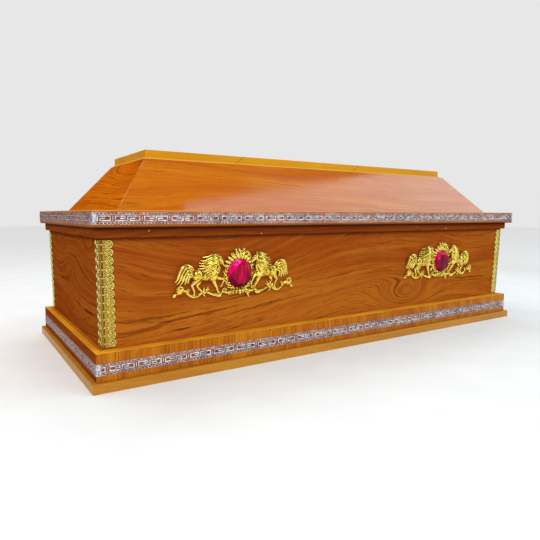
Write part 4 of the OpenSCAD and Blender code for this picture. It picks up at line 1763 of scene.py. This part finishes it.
def makeFloor():
    mesh = bpy.data.meshes.new("floor")
    half = studio["floorSize"] / 2
    corners = [(-half, -half, 0), (half, -half, 0), (half, half, 0), (-half, half, 0)]
    mesh.from_pydata(corners, [], [(0, 1, 2, 3)])
    floor = looseObject("floor", mesh)
    finish = Finish("floor_paint")
    grit = finish.cloud(finish.place, 6.0, 3.0)
    colour = finish.mix(finish.span(grit, 0.3, 0.7), studio["floorColour"], studio["floorShade"])
    mesh.materials.append(finish.surface(colour=colour, roughness=0.9, specular=0.0))


def makeSky():
    world = bpy.data.worlds.new("studio_sky")
    world.use_nodes = True
    graph = Graph()
    graph.tree = world.node_tree
    seen = graph.node("ShaderNodeLightPath", output="Is Camera Ray")
    glossy = graph.node("ShaderNodeLightPath", output="Is Glossy Ray")
    strength = glossy * (studio["skyMirrored"] - studio["skyLight"]) + studio["skyLight"]
    strength = seen * (studio["skySeen"] - strength) + strength
    background = graph.tree.nodes["Background"]
    background.inputs["Color"].default_value = solid(studio["sky"])
    graph.join(background.inputs["Strength"], strength)
    bpy.context.scene.world = world


# each light: place, the point that it faces, width and height, power, colour
lights = {
    "key": ((-2.2, -3.6, 3.0), (0.0, 0.0, 0.35), (1.6, 1.6), 62.0, (1.0, 0.97, 0.92)),
    "top": ((-1.0, 1.3, 3.6), (0.0, 0.0, 0.5), (2.4, 1.2), 30.0, (1.0, 0.98, 0.95)),
}

# a tall window far to the right; its slanting edge is what the glossy slope mirrors
window = {
    "corners": ((3.5, 0.27, 0.9), (3.5, -1.92, 9.4), (3.5, -5.2, 9.4), (3.5, -3.6, 0.9)),
    "strength": 2.1,
    "colour": (0.66, 0.90, 1.0),
}


def makeLights():
    for name, (place, target, size, power, colour) in lights.items():
        data = bpy.data.lights.new(name, "AREA")
        data.shape = "RECTANGLE"
        data.size, data.size_y = size
        data.energy = power
        data.color = colour
        light = looseObject(name, data)
        light.location = place
        light.rotation_euler = (Vector(target) - Vector(place)).to_track_quat("-Z", "Y").to_euler()


def makeWindow():
    mesh = bpy.data.meshes.new("window")
    mesh.from_pydata(window["corners"], [], [(0, 1, 2, 3)])
    pane = looseObject("window", mesh)
    finish = Finish("window_glow")
    finish.join(finish.shader.inputs["Base Color"], (0, 0, 0, 1))
    finish.join(finish.shader.inputs["Emission Color"], solid(window["colour"]))
    finish.join(finish.shader.inputs["Emission Strength"], window["strength"])
    mesh.materials.append(finish.material)
    pane.visible_camera = False
    pane.visible_shadow = False


viewpoint = {
    "place": (-1.450, -1.819, 0.539),
    "yaw": 30.83,
    "pitch": 5.05,
    "roll": 0.13,
    "lens": 31.54,
    "shift": (0.074, -0.026),
}


def makeCamera():
    data = bpy.data.cameras.new("camera")
    data.sensor_width = 36.0
    data.lens = viewpoint["lens"]
    data.shift_x, data.shift_y = viewpoint["shift"]
    data.clip_start = 0.01
    camera = looseObject("camera", data)
    turn = Matrix.Rotation(math.radians(-viewpoint["yaw"]), 4, "Z")
    tip = Matrix.Rotation(math.radians(90.0 - viewpoint["pitch"]), 4, "X")
    roll = Matrix.Rotation(math.radians(viewpoint["roll"]), 4, "Z")
    camera.matrix_world = Matrix.Translation(viewpoint["place"]) @ turn @ tip @ roll
    bpy.context.scene.camera = camera


makeFloor()
makeSky()
makeLights()
makeWindow()
makeCamera()
bpy.context.scene.view_settings.view_transform = "Standard"
print("studio set")
